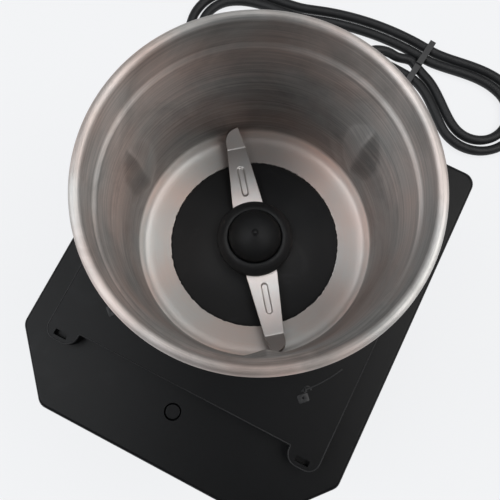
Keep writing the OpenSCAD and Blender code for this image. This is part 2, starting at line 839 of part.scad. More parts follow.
module micro_switch() color(black) at_plunger() difference() {
    half_t = switch_t / 2;
    union() {
        translate([switch_left, -half_t, switch_z]) cube([switch_l, switch_t, switch_h]);
        for (side = [-1, 1])
            translate([switch_left, side < 0 ? -half_t : half_t - 1.2, switch_z + switch_h - eps])
                cube([4.2, 1.2, 6.6]);
        translate([switch_left + 8, -1.2, switch_z + switch_h - eps]) cube([2.4, 2.4, 2.4]);
        for (x = [3, 12, 21])
            translate([switch_left + x, -0.4, switch_z - 6]) cube([4.8, 0.8, 6 + eps]);
    }
    translate([-lever_arm, -half_t - 1, pivot_z]) rotate([-90, 0, 0])
        cylinder(h = switch_t + 2, r = pin_r + press_gap, $fn = 32);
    at_switch_holes() rotate([-90, 0, 0])
        translate([0, 0, -10]) cylinder(h = 30, r = switch_screw_r + 0.15, $fn = 32);
}

module switch_screws() color(steel) at_plunger() at_switch_holes() rotate([-90, 0, 0]) {
    translate([0, 0, 5 - switch_t / 2 - 1.4]) cylinder(h = 1.4, r = 2.2, $fn = 32);
    translate([0, 0, 5 - switch_t / 2 - eps])
        cylinder(h = switch_t + 2.6, r = switch_screw_r, $fn = 32);
}

module lever_pin() color(bright) at_plunger()
    translate([-lever_arm, -switch_t / 2, pivot_z]) rotate([-90, 0, 0])
        cylinder(h = switch_t, r = pin_r, $fn = 32);

module switch_lever() color(bright) at_plunger() {
    half = switch_t / 2 - 1.6;
    difference() {
        union() {
            translate([-lever_arm, -half, pivot_z]) rotate([-90, 0, 0])
                cylinder(h = 2 * half, r = pivot_r, $fn = 48);
            translate([-lever_arm, -half, lever_top - 0.6]) cube([lever_arm + 4, 2 * half, 0.6]);
        }
        translate([-lever_arm, -half - 1, pivot_z]) rotate([-90, 0, 0])
            cylinder(h = 2 * half + 2, r = pin_r + run_gap, $fn = 32);
    }
}

// ---- seat ring, bowl and its base ----

module seat_ring() color(rubber_black) at_axis() {
    ring(seat_r_out - seat_w, seat_r_out, seat_z, seat_z + seat_t);
    for (k = [0:lug_count - 1]) rotate(lug_first + 60 + 360 / lug_count * k)
        sector_block(spigot_r - spigot_wall + 0.4, spigot_r - 0.6,
            -nib_angle / 2, nib_angle / 2, seat_z + seat_t - eps, seat_z + seat_t + nib_h);
}

// Half section of the steel cup: floor, fillet, wall, ledge and rolled rim
module cup_section() {
    steps = 6;
    upper_r = bowl_r + ledge_step;
    roll_x = rim_r - roll_r;
    roll_z = rim_z - roll_r;
    polygon([
        [floor_hole_r, cup_foot],
        for (k = [0:steps]) let (a = -90 + 90 * k / steps)
            [bowl_r - floor_fillet, floor_z + floor_fillet]
                + around(floor_fillet + steel_t, a),
        [bowl_r + steel_t, ledge_z - steel_t],
        [upper_r + steel_t, ledge_z + 1 - steel_t],
        [upper_r + steel_t, roll_z],
        [upper_r, roll_z],
        [upper_r, ledge_z + 1],
        [upper_r - 0.5, ledge_z],
        [bowl_r + 0.1, ledge_z - 0.5],
        [bowl_r, ledge_z - 1.2],
        for (k = [0:steps]) let (a = -90 * k / steps)
            [bowl_r - floor_fillet, floor_z + floor_fillet] + around(floor_fillet, a),
        [floor_hole_r, floor_z]
    ]);
    translate([roll_x, roll_z]) circle(roll_r);
}

module dent(r) {
    end = dent_len / 2 - dent_r;
    translate([bowl_r + dent_r - dent_depth, 0, floor_z + dent_mid]) {
        translate([0, 0, -end]) cylinder(h = 2 * end, r = r, $fn = 64);
        for (side = [-1, 1]) translate([0, 0, side * end]) sphere(r, $fn = 64);
    }
}

module bowl_cup() color(steel) at_axis() difference() {
    union() {
        rotate_extrude() cup_section();
        intersection() {
            for (k = [0:lug_count - 1]) rotate(lug_first + 360 / lug_count * k)
                dent(dent_r);
            ring(0, bowl_r + steel_t / 2, floor_z, ledge_z - 2);
        }
    }
    for (k = [0:lug_count - 1]) rotate(lug_first + 360 / lug_count * k)
        dent(dent_r - steel_t);
}

module bowl_base() color(black) at_axis() difference() {
    union() {
        ring(bowl_r + steel_t + seat_gap, collar_r, cup_foot, cup_foot + collar_cover);
        ring(bowl_r - 0.6, collar_r, panel_z + collar_gap, cup_foot + eps);
        ring(tube_r + seat_gap, bowl_r, carrier_z, flange_z);
        ring(flange_r + seat_gap, bowl_r, flange_z - eps, cup_foot);
        ring(spigot_r - spigot_wall, spigot_r, spigot_z, carrier_z + eps);
        for (k = [0:lug_count - 1]) rotate(lug_first + 360 / lug_count * k)
            sector_block(spigot_r - 1, spigot_r + lug_reach, -lug_angle / 2,
                lug_angle / 2, lug_z, lug_z + lug_h);
    }
    for (k = [0:lug_count - 1]) {
        rotate(lug_first + 60 + 360 / lug_count * k)
            sector_block(spigot_r - spigot_wall - 1, spigot_r + 1,
                -nib_angle / 2 - 1, nib_angle / 2 + 1, spigot_z - 1, spigot_z + nib_h + 0.2);
        rotate(120 * k) translate([bowl_screw_circle, 0, 0])
            ring(0, bowl_screw_r + 0.4, carrier_z - 1, flange_z + 1);
    }
}

// The black disc that closes the bowl's floor and carries the blade's bush
module bearing_disc() color(dark_grey) at_axis() difference() {
    rotate_extrude() polygon([
        [bush_r + press_gap, tube_z],
        [tube_r, tube_z],
        [tube_r, flange_z],
        [flange_r, flange_z],
        [flange_r, flange_z + flange_t],
        [floor_hole_r - 0.15, flange_z + flange_t],
        [floor_hole_r - 0.15, floor_z - 0.4],
        [floor_hole_r - 0.9, floor_z - 0.1],
        [hub_r + 1, disc_top],
        [bush_r + press_gap, disc_top]
    ]);
    for (k = [0:2]) rotate(120 * k) translate([bowl_screw_circle, 0, 0])
        ring(0, bowl_screw_r, flange_z - 1, flange_z + 3);
}

module floor_gasket() color(rubber_black) at_axis()
    ring(floor_hole_r + 0.2, flange_r, cup_foot - gasket_t, cup_foot);

module bowl_screws() color(steel) at_axis()
    for (k = [0:2]) rotate(120 * k) translate([bowl_screw_circle, 0, 0]) {
        ring(0, 2.8, carrier_z - 1.8, carrier_z);
        ring(0, bowl_screw_r - press_gap, carrier_z - eps, flange_z + 2.6);
    }

// ---- blade and hub ----

module blade_bush() color(brass) at_axis()
    ring(blade_shaft_r + run_gap, bush_r, tube_z + 0.2, disc_top);

module blade_shaft() color(bright) at_axis()
    ring(0, blade_shaft_r, driven_z + 0.4, hub_z + cap_floor + 2.5);

module thrust_washers() color(bright) at_axis() {
    ring(blade_shaft_r + press_gap, bush_r + 0.8, disc_top + 0.1, disc_top + washer_t);
    ring(blade_shaft_r + press_gap, bush_r + 0.8, driven_z + coupling_t,
        tube_z - 0.1);
}

module blade_collar() color(dark_grey) at_axis()
    ring(blade_shaft_r + press_gap, 8.5, disc_top + washer_t, blade_z);

module arm_outline() difference() {
    polygon([[0, -arm_root_w / 2], [hub_r, -arm_root_w / 2], [arm_bend_r, -arm_tip_w / 2],
        [arm_bend_r, arm_tip_w / 2], [hub_r, arm_root_w / 2], [0, arm_root_w / 2]]);
    slot_mid = (hub_r + arm_bend_r) / 2 - 2;
    for (side = [-1, 1])
        translate([slot_mid + side * arm_slot_len / 2, 0]) circle(arm_slot_w / 2, $fn = 32);
    translate([slot_mid - arm_slot_len / 2, -arm_slot_w / 2])
        square([arm_slot_len, arm_slot_w]);
}

// The bent end of an arm, with its leading corner rounded off
module arm_tip() {
    round = arm_tip_w * 0.45;
    translate([arm_bend_r, 0, 0]) rotate([0, -arm_tip_angle, 0])
        linear_extrude(blade_t) difference() {
            translate([-0.4, -arm_tip_w / 2]) square([arm_tip_len + 0.4, arm_tip_w]);
            translate([arm_tip_len - round, arm_tip_w / 2 - round]) difference() {
                square(round + 1);
                circle(round, $fn = 48);
            }
        }
}

module blade() color(bright) at_axis() translate([0, 0, blade_z]) rotate(blade_turn)
    difference() {
        union() {
            for (a = [0, 180]) rotate(a) {
                linear_extrude(blade_t) arm_outline();
                arm_tip();
            }
            cylinder(h = blade_t, r = 10);
        }
        translate([0, 0, -1]) cylinder(h = blade_t + 2, r = blade_shaft_r + press_gap);
    }

module hub_ring() color(dark_grey) at_axis() translate([0, 0, hub_z])
    rotate_extrude() polygon([
        [blade_shaft_r + press_gap, 0],
        [hub_r, 0],
        [hub_r, hub_h * 0.2],
        [hub_r - 0.9, hub_h * 0.45],
        [cap_r + 1.5, hub_h - 0.3],
        [cap_r + 0.8, hub_h],
        [cap_r + 0.2, hub_h - 0.4],
        [cap_r + 0.2, cap_floor],
        [blade_shaft_r + press_gap, cap_floor]
    ]);

module hub_cap() color(black) at_axis() translate([0, 0, hub_z + cap_floor]) {
    steps = 8;
    skirt = hub_h - cap_floor - 0.1;
    bore = blade_shaft_r + press_gap;
    rotate_extrude() polygon([
        [bore, 0],
        [cap_r, 0],
        for (k = [0:steps - 1]) let (a = 90 * k / steps)
            [cap_r * cos(a), skirt + cap_dome * sin(a)],
        [0.8, skirt + cap_dome - 0.1],
        [0.7, skirt + cap_dome + 0.7],
        [0, skirt + cap_dome + 0.8],
        [0, 3],
        [bore, 3]
    ]);
}

// ---- mains lead: strain relief, lead, hank, tail and plug ----

module strain_relief() color(rubber_black) translate([exit_x, back_y, relief_z])
    rotate([-90, 0, 0]) {
        translate([0, 0, -shell_wall - 2]) cylinder(h = 2, r = relief_neck_r + 1.8);
        translate([0, 0, -shell_wall - eps]) cylinder(h = shell_wall + 2 * eps, r = relief_neck_r);
        cylinder(h = 2.5, r = relief_neck_r + 1.8);
        for (k = [0:4]) translate([0, 0, 2.5 + k * (relief_len - 2.5) / 5])
            cylinder(h = (relief_len - 2.5) / 5 + (k < 4 ? eps : 0), r1 = 4.9 - 0.28 * k,
                r2 = 4.7 - 0.28 * k);
    }

// A tube swept along its points, with square ends, as one closed polyhedron
module tube(p, r, sides) {
    n = len(p);
    up = [0, 0, 1];
    function along(i) = unit(p[min(i + 1, n - 1)] - p[max(i - 1, 0)]);
    function across(i) = unit(cross(along(i), up));
    function rise(i) = cross(across(i), along(i));
    points = [for (i = [0:n - 1], k = [0:sides - 1]) let (a = 360 / sides * (k + 0.5))
        p[i] + r * (cos(a) * across(i) + sin(a) * rise(i))];
    sleeve = [for (i = [0:n - 2], k = [0:sides - 1]) let (
        a = i * sides + k, b = i * sides + (k + 1) % sides)
        each [[a, b, b + sides], [a, b + sides, a + sides]]];
    last = (n - 1) * sides;
    ends = [for (k = [1:sides - 2]) each [[0, k + 1, k], [last, last + k, last + k + 1]]];
    polyhedron(points, concat(sleeve, ends));
}

// The hank lies on the table in one layer along an arc behind the grinder: a first
// fold, then turns of two runs and two folds, wound inwards. Runs are drawn together
// between their ends, where the tie holds them.
hank_hub = [14.2, 28];
hank_bend = 163;
hank_left = -108;
hank_run = 176;
hank_fold_r = 19;
hank_step = 7.3;
hank_draw = 14.9;
draw_ramp = 0.28;
tie_at = 18.5;
cord_z = cord_d / 2 + 0.6;
run_rings = 12;
fold_rings = 5;
loop_rings = 2 * (run_rings + fold_rings);
near_end = 2 * run_rings + fold_rings;
hank_first = near_end + 1;
hold_ring = 2 * loop_rings + run_rings + fold_rings;
hank_last = hold_ring + 3;

function hank_offset(i) = hank_fold_r + hank_step * (hold_ring - i) / loop_rings;
function drawn(u) = let (t = min(min(u, 1 - u) / draw_ramp, 1))
    hank_draw * t * t * (3 - 2 * t);
// A place on the table, at an arc length along the hank's middle line
function hank_spot(arc, p) = let (a = arc / hank_bend * 180 / PI) [
    hank_hub[0] + (hank_bend + p[1]) * sin(a) + p[0] * cos(a),
    hank_hub[1] + (hank_bend + p[1]) * cos(a) - p[0] * sin(a), cord_z];
function fold_turn(i) = let (j = i % loop_rings) j < near_end
    ? 90 - 180 * (j - run_rings) / fold_rings
    : -90 - 180 * (j - near_end) / fold_rings;
function hank_point(i) = let (
        j = i % loop_rings, o = hank_offset(i), right = run_rings + fold_rings,
        u = j < run_rings ? j / run_rings : 1 - (j - right) / run_rings)
    j < run_rings ? hank_spot(hank_left + hank_run * u, [0, o - drawn(u)])
    : j < right ? hank_spot(hank_left + hank_run, around(o, fold_turn(i)))
    : j < near_end ? hank_spot(hank_left + hank_run * u, [0, drawn(u) - o])
    : hank_spot(hank_left, around(o, fold_turn(i)));
first_way = let (a = fold_turn(hank_first))
    hank_spot(hank_left, [sin(a), -cos(a)]) - hank_spot(hank_left, [0, 0]);
last_arc = hank_left + hank_run * (1 - (hank_last - hold_ring) / run_rings);
last_way = hank_spot(last_arc, [-1, 0]) - hank_spot(last_arc, [0, 0]);
hank_start = hank_point(hank_first) - 4 * first_way;
hank_end = hank_point(hank_last) + cord_d * last_way;
hank_path = concat([hank_start], [for (i = [hank_first:hank_last]) hank_point(i)], [hank_end]);

// Least gap of the hank to itself, on points a quarter of a ring apart
fine = [for (i = [4 * hank_first:4 * hank_last]) let (k = floor(i / 4), f = i / 4 - k)
    hank_point(k) * (1 - f) + (f > 0 ? hank_point(k + 1) * f : [0, 0, 0])];
hank_gap = min([for (i = [0:len(fine) - 1], j = [i + 24:1:len(fine) - 1])
    norm(fine[i] - fine[j])]) - cord_d;
function path_len(p, i = 0, sum = 0) = i >= len(p) - 1 ? sum
    : path_len(p, i + 1, sum + norm(p[i + 1] - p[i]));

// Route of the lead from the strain relief to the hank, and from the hank over its
// own near run to the plug, which points back at the base
lead_start = [exit_x, back_y + relief_len + press_gap, relief_z];
lead_path = [lead_start, [-30, 111, 16], [-31.4, 118.7, 14], [-35.3, 125.5, 11],
    [-41.3, 130.5, 8], [-48.7, 133.1, 5.6], [-56.5, 133, 4.2], [-64, 130.2, 3.7],
    [-70, 127.7, cord_z], hank_point(hank_first) - 8 * first_way, hank_start];
plug_start = [-9, 158, 8];
tail_path = [hank_end, hank_point(hank_last) + 2 * cord_d * last_way, [18, 187.6, 5.6],
    [10.5, 186.2, 8.5], [3, 182.3, 10.7], [-3.2, 176.2, 11], [-7.4, 169, 9.6],
    plug_start + [0, 3.5, 0], plug_start];

echo("least gap between the hank's strands", hank_gap);
echo("length of lead, hank and tail", path_len(lead_path), path_len(hank_path),
    path_len(tail_path));

module power_cord() color(cord_black) tube(lead_path, cord_d / 2, 8);
module cord_hank() color(cord_black) tube(hank_path, cord_d / 2, 6);
module cord_tail() color(cord_black) tube(tail_path, cord_d / 2, 8);

// A twist tie bent round the hank where its runs are drawn together
module hank_tie() color(dark_grey) translate([0, 0, -cord_z])
    translate(hank_spot(tie_at, [0, 0])) rotate(-tie_at / hank_bend * 180 / PI) {
        wall = 0.5;
        room = cord_d / 2 + 0.7;
        far = hank_fold_r + 1.25 * hank_step - hank_draw + room;
        near = hank_fold_r + 0.9 * hank_step - hank_draw + room;
        top = cord_z + room;
        translate([-2, 0, 0]) rotate([90, 0, 90]) linear_extrude(4) difference() {
            translate([-near - wall, 0]) square([near + far + 2 * wall, top + wall]);
            translate([-near, wall]) square([near + far, top - wall]);
        }
        translate([-2, -2, top + wall - eps]) cube([4, 8, 1.2]);
    }

module plug_body() color(cord_black) translate(plug_start) rotate([0, -90, 90]) {
    neck = 11;
    for (k = [0:3]) translate([0, 0, k * neck / 4])
        cylinder(h = neck / 4 + eps, r1 = 3.6 + 0.55 * k, r2 = 3.9 + 0.55 * k);
    translate([0, 0, neck]) linear_extrude(plug_len - neck)
        box_shape(-7, 7, -12, 12, 4);
}

module plug_pins() color(brass) translate(plug_start) rotate([0, -90, 90])
    for (y = [-6.35, 6.35]) translate([-3.2, y - 0.75, plug_len])
        cube([6.4, 1.5, pin_len]);

base_shell();
deck_cover();
bottom_cover();
rubber_feet();
cover_screws();
field_stator();
field_coils();
lower_bracket();
upper_bracket();
motor_screws();
lower_bush();
ball_bearing();
motor_mounts();
mount_screws();
brush_holders();
carbon_brushes();
shaft_seal();
motor_shaft();
armature_core();
armature_windings();
commutator();
cooling_fan();
drive_coupling();
interlock_plunger();
plunger_spring();
switch_bracket();
bracket_screws();
micro_switch();
switch_screws();
switch_lever();
lever_pin();
seat_ring();
bowl_cup();
bowl_base();
bearing_disc();
floor_gasket();
bowl_screws();
blade_bush();
blade_shaft();
blade();
blade_collar();
thrust_washers();
hub_ring();
hub_cap();
driven_coupling();
strain_relief();
power_cord();
cord_hank();
cord_tail();
hank_tie();
plug_body();
plug_pins();
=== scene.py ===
import json
import math

import bmesh
import bpy
from mathutils import Matrix, Vector

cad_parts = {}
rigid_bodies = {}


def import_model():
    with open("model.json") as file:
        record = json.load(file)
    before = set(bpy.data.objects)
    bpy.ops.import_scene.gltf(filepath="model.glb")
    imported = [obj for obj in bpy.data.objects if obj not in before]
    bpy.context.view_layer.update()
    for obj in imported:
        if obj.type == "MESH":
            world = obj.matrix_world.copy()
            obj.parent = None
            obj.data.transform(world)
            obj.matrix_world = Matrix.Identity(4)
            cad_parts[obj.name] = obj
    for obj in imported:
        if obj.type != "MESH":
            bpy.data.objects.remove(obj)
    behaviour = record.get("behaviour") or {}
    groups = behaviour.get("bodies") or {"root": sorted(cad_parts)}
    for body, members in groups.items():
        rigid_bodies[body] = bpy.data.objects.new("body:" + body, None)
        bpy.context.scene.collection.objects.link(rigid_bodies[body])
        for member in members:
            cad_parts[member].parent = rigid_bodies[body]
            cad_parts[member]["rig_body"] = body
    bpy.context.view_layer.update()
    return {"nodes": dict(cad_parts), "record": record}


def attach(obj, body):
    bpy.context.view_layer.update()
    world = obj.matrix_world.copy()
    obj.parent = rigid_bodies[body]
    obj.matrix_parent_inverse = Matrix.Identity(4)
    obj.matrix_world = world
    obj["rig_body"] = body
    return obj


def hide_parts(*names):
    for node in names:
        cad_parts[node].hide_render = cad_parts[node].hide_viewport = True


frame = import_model()
nodes = frame["nodes"]
mm = 0.001
meeting = 1e-7  # a made piece's points closer than this are one point
solidMeeting = 1e-6  # the same for a solid's triangles
nearlyFlat = math.radians(0.6)  # triangles that turn less than this are one face
bowlAxis = (0.0, 0.010)  # where the bowl's axis stands in plan
bladeTurn = 128.0  # degrees from +X to the blade's first arm
print("frame loaded:", len(nodes), "nodes")


def inMetres(points):
    return [Vector(p) * mm for p in points]


# the camera of the photograph, solved from the bowl's circles
cameraPlan = {
    "place": (0.014999, -0.025855, 0.338926),
    "right": (0.89253, 0.45096, 0.00570),
    "up": (-0.44473, 0.87796, 0.17722),
    "lens": 39.6,
    "sensor": 36.0,
    "clip": (0.01, 20.0),
}


def makeCamera(plan):
    data = bpy.data.cameras.new("photoCamera")
    data.lens, data.sensor_width, data.sensor_fit = plan["lens"], plan["sensor"], "HORIZONTAL"
    data.clip_start, data.clip_end = plan["clip"]
    right = Vector(plan["right"]).normalized()
    up = (Vector(plan["up"]) - right * Vector(plan["up"]).dot(right)).normalized()
    turn = Matrix((right, up, right.cross(up))).transposed().to_4x4()
    camera = bpy.data.objects.new("photoCamera", data)
    camera.matrix_world = Matrix.Translation(plan["place"]) @ turn
    bpy.context.scene.collection.objects.link(camera)
    bpy.context.scene.camera = camera


makeCamera(cameraPlan)
bpy.context.scene.view_settings.view_transform = "Standard"
print("camera made")


class Sock:
    def __init__(self, graph, socket):
        self.graph, self.socket = graph, socket

    def calc(self, operation, *values):
        made = self.graph.node("ShaderNodeMath", {"operation": operation}, dict(enumerate(values)))
        return Sock(self.graph, made.outputs[0])

    def __add__(self, other):
        return self.calc("ADD", self, other)

    def __sub__(self, other):
        return self.calc("SUBTRACT", self, other)

    def __rsub__(self, other):
        return self.calc("SUBTRACT", other, self)

    def __mul__(self, other):
        return self.calc("MULTIPLY", self, other)

    def __truediv__(self, other):
        return self.calc("DIVIDE", self, other)

    __radd__, __rmul__ = __add__, __mul__

    def root(self):
        return self.calc("SQRT", self)

    def size(self):
        return self.calc("ABSOLUTE", self)

    def atLeast(self, other):
        return self.calc("MAXIMUM", self, other)


class Graph:
    def feed(self, socket, value):
        if isinstance(value, Sock):
            value = value.socket
        if isinstance(value, bpy.types.NodeSocket):
            self.tree.links.new(value, socket)
        else:
            socket.default_value = value

    def node(self, kind, settings=None, sockets=None):
        made = self.tree.nodes.new(kind)
        for name, value in (settings or {}).items():
            setattr(made, name, value)
        for name, value in (sockets or {}).items():
            self.feed(made.inputs[name], value)
        return made


class Finish(Graph):
    def __init__(self, name):
        self.material = bpy.data.materials.new(name)
        self.material.use_nodes = True
        self.tree = self.material.node_tree
        self.tree.nodes.clear()
        self.shader = self.node("ShaderNodeBsdfPrincipled")
        self.output = self.node("ShaderNodeOutputMaterial", {}, {"Surface": self.shader.outputs[0]})

    def where(self, centre=(0, 0, 0), turn=(0, 0, 0)):
        spot = self.node("ShaderNodeTexCoord").outputs["Object"]
        moved = self.node("ShaderNodeMapping", {"vector_type": "TEXTURE"},
                          {"Vector": spot, "Location": centre, "Rotation": turn})
        return moved.outputs[0]

    def split(self, vector):
        parts = self.node("ShaderNodeSeparateXYZ", {}, {0: vector})
        return [Sock(self, o) for o in parts.outputs]

    def join(self, x, y, z):
        return self.node("ShaderNodeCombineXYZ", {}, {0: x, 1: y, 2: z}).outputs[0]

    def noise(self, vector, scale, detail=2.0, rough=0.5, warp=0.0):
        made = self.node("ShaderNodeTexNoise", {"noise_dimensions": "3D"},
                         {"Vector": vector, "Scale": scale, "Detail": detail,
                          "Roughness": rough, "Distortion": warp})
        return Sock(self, made.outputs["Fac"])

    def streaks(self, spot, stretch, detail, rough=0.5):
        parts = [part * share for part, share in zip(self.split(spot), stretch)]
        return self.noise(self.join(*parts), 1.0, detail, rough)

    def mapped(self, value, low, high, newLow=0.0, newHigh=1.0):
        made = self.node("ShaderNodeMapRange", {"clamp": True},
                         {"Value": value, "From Min": low, "From Max": high,
                          "To Min": newLow, "To Max": newHigh})
        return Sock(self, made.outputs[0])

    def tint(self, factor, first, second):
        made = self.node("ShaderNodeMix", {"data_type": "RGBA", "blend_type": "MIX"},
                         {0: factor, 6: (*first, 1), 7: (*second, 1)})
        return made.outputs[2]

    def times(self, color, factor):
        made = self.node("ShaderNodeMix", {"data_type": "RGBA", "blend_type": "MULTIPLY"},
                         {0: 1.0, 6: color, 7: self.join(factor, factor, factor)})
        return made.outputs[2]

    def shade(self, sockets):
        for name, value in sockets.items():
            self.feed(self.shader.inputs[name], value)

    def relief(self, height, distance):
        bump = self.node("ShaderNodeBump", {}, {"Height": height, "Distance": distance,
                                                "Strength": 1.0})
        self.feed(self.shader.inputs["Normal"], bump.outputs[0])


def mouldedPlastic(name, look):
    made = Finish(name)
    spot = made.where()
    grain = made.noise(spot, look["grainScale"], 3.0, 0.6)
    cloud = made.noise(spot, look["cloudScale"], 3.0)
    scuff = made.noise(made.where(turn=look["scuffTurn"]), look["scuffScale"], 4.0, 0.7, 1.5)
    worn = made.mapped(scuff, *look["scuffFrom"])
    spread = look["roughSpread"]
    made.shade({
        "Base Color": made.tint(cloud * look["cloudShare"] + worn * look["wear"],
                                look["color"], look["worn"]),
        "Roughness": cloud * spread + (look["rough"] - spread / 2) - worn * look["wornShine"],
        "Specular IOR Level": look["gloss"],
        "Anisotropic": look["turned"], "Anisotropic Rotation": 0.25,
    })
    made.relief(grain, look["grain"])
    return made.material


def turnedSteel(name, look):
    made = Finish(name)
    spot = made.where(centre=(*bowlAxis, 0))
    x, y, z = made.split(spot)
    radius = (x * x + y * y).root() + 1e-6
    along = radius + z
    aroundX, aroundY = x / radius, y / radius

    def rings(perMetre, spread, detail):
        vector = made.join(along * perMetre, aroundX * spread, aroundY * spread)
        return made.noise(vector, 1.0, detail, 0.6)
    fine = rings(look["fineRings"], 1.2, 3.0)
    broad = rings(look["broadRings"], 0.5, 2.0)
    streak = rings(look["fineRings"] * look["streakShare"], 1.0, 4.0)
    cloud = made.noise(spot, look["cloudScale"], 3.0)
    warm = made.mapped(cloud, *look["warmFrom"])
    haze = made.mapped(streak, *look["hazeFrom"])
    # masks over the height: foot of the wall, wall and brim, which place the painted glow and the painted
    # shade
    wall = made.mapped(z, *look["wallFrom"])
    brim = made.mapped(z, *look["brimFrom"])
    # painted light: the colour is brightened where the floor turns up into the wall, a painted reflection,
    # and darkened up the wall below the brim, a painted shade
    glow = made.mapped(z, *look["glowFrom"], 0.0, look["glow"]) * (1.0 - wall)
    paintedLight = 1.0 + glow - wall * (1.0 - brim) * look["paintedWallShade"]
    # random darker blotches on the wall
    blotch = made.mapped(made.noise(spot, look["blotchScale"], 4.0, 0.65, 0.8), *look["blotchFrom"])
    lined = made.mapped(streak, *look["linedFrom"], 1.0 - look["lined"], 1.0 + look["lined"] * 0.5)
    steel = made.tint(warm * 0.8 + haze * 0.2, look["cool"], look["warm"])
    # the painted glow and shade, times the darker blotches and the brushing lines
    paintedLightAndTone = paintedLight * (1.0 - blotch * wall * look["blotch"]) * (1.0 + wall * (lined - 1.0))
    made.shade({
        "Base Color": made.times(steel, paintedLightAndTone), "Metallic": 1.0,
        "Anisotropic": look["brushed"], "Anisotropic Rotation": look["across"],
        "Roughness": look["rough"] - 0.03 + haze * 0.05 + warm * 0.04,
    })
    made.relief(fine * 0.5 + broad * look["broadShare"] + streak * 0.2, look["groove"])
    return made.material


def groundSteel(name, look):
    made = Finish(name)
    spot = made.where(centre=(*bowlAxis, 0), turn=(0, 0, look["turn"]))
    lines = made.streaks(spot, look["stretch"], 3.0, 0.65)
    cloud = made.noise(spot, look["cloudScale"], 3.0)
    steel = made.tint(made.mapped(cloud, *look["warmFrom"]), look["cool"], look["warm"])
    # painted shade: the colour darkens from the hub out along the arms
    out = made.split(spot)[0].size()
    made.shade({
        "Base Color": made.times(steel, made.mapped(out, *look["paintedShadeFrom"], 1.0, look["paintedShade"])),
        "Metallic": 1.0,
        "Roughness": look["rough"] + lines * 0.08 + cloud * 0.06,
    })
    made.relief(lines, look["groove"])
    return made.material


def plainMetal(name, look):
    made = Finish(name)
    spot = made.where(centre=(*bowlAxis, 0))
    speck = made.noise(spot, look["scale"], 4.0, 0.7)
    mark = made.mapped(made.streaks(spot, look["stretch"], 2.0), *look["markFrom"])
    made.shade({
        "Base Color": made.tint(speck * 0.5 + mark * 0.5, look["color"], look["dark"]),
        "Metallic": look["metal"],
        "Roughness": look["rough"] - 0.05 + speck * 0.12,
    })
    made.relief(speck * 0.5 + mark, look["relief"])
    return made.material


def softRubber(name, look):
    made = Finish(name)
    spot = made.where()
    bloom = made.noise(spot, look["bloomScale"], 4.0, 0.6)
    grain = made.noise(spot, look["grainScale"], 2.0)
    made.shade({
        "Base Color": made.tint(made.mapped(bloom, *look["bloomFrom"]), look["color"], look["bloom"]),
        "Roughness": look["rough"] + bloom * 0.12,
        "Specular IOR Level": look["gloss"],
    })
    made.relief(grain, look["grain"])
    return made.material


# finishes, one for each material slot and a few more for single pieces
finishes = {}
plasticLook = {
    "color": (0.0024, 0.0026, 0.0030), "worn": (0.008, 0.0085, 0.0095), "wear": 0.25,
    "rough": 0.36, "roughSpread": 0.10, "wornShine": 0.06, "gloss": 0.16, "turned": 0.0,
    "grain": 0.00003, "grainScale": 2600.0, "cloudScale": 22.0, "cloudShare": 0.6,
    "scuffScale": 34.0, "scuffTurn": (0.3, 0.2, 0.7), "scuffFrom": (0.56, 0.74)}
hubLook = {**plasticLook, "turned": 0.6, "wear": 0.7, "grain": 0.000012, "cloudScale": 60.0,
           "scuffScale": 62.0}
finishes["housing_plastic"] = mouldedPlastic("housingPlastic", plasticLook)
finishes["hub_plastic"] = mouldedPlastic("hubPlastic", {
    **hubLook, "color": (0.0088, 0.0096, 0.0108), "worn": (0.019, 0.0205, 0.0225), "gloss": 0.34,
    "rough": 0.44})
# the cap is the hub's plastic, darker in colour as a painted shade on the dome, with less gloss of its own
finishes["cap_plastic_painted_shade"] = mouldedPlastic("capPlasticPaintedShade", {
    **hubLook, "color": (0.0075, 0.0080, 0.0088), "worn": (0.013, 0.014, 0.015), "gloss": 0.22,
    "rough": 0.48})
# the housing's plastic, lighter in colour as a painted highlight on the raised marks and the panel's bead,
# with a satin gloss of its own
finishes["mark_plastic"] = mouldedPlastic("markPlasticPaintedHighlight", {
    **plasticLook, "color": (0.013, 0.0135, 0.0145), "worn": (0.026, 0.026, 0.028), "rough": 0.42,
    "gloss": 0.35})
finishes["inner_plastic"] = mouldedPlastic("innerPlastic", {
    **plasticLook, "color": (0.020, 0.020, 0.021), "worn": (0.05, 0.05, 0.05), "rough": 0.36})
finishes["tie_plastic"] = mouldedPlastic("tiePlastic", {
    **plasticLook, "color": (0.030, 0.031, 0.033), "worn": (0.07, 0.07, 0.07), "rough": 0.32,
    "grainScale": 900.0, "gloss": 0.5})
steelLook = {
    "cool": (0.58, 0.585, 0.575), "warm": (0.67, 0.54, 0.49), "warmFrom": (0.38, 0.66),
    "rough": 0.47, "brushed": 0.8, "across": 0.25, "cloudScale": 34.0, "hazeFrom": (0.3, 0.75),
    # wallFrom, brimFrom and paintedWallShade place the painted shade on the wall; glowFrom and glow the
    # painted glow at its foot
    "wallFrom": (0.1440, 0.1480), "brimFrom": (0.165, 0.2035), "paintedWallShade": 0.36,
    "glowFrom": (0.1398, 0.1412), "glow": 0.46,
    "blotchScale": 48.0, "blotchFrom": (0.42, 0.7), "blotch": 0.25,
    "linedFrom": (0.32, 0.68), "lined": 0.25,
    "fineRings": 4200.0, "streakShare": 0.3, "broadRings": 800.0, "broadShare": 0.35,
    "groove": 0.000045}
finishes["bowl_steel"] = turnedSteel("bowlSteel", steelLook)
finishes["blade_steel"] = groundSteel("bladeSteel", {
    "cool": (0.90, 0.90, 0.89), "warm": (0.92, 0.82, 0.79), "warmFrom": (0.35, 0.7),
    "rough": 0.34, "turn": math.radians(bladeTurn), "stretch": (60, 5200, 3000), "cloudScale": 90.0,
    "groove": 0.000012, "paintedShadeFrom": (0.014, 0.034), "paintedShade": 0.66})
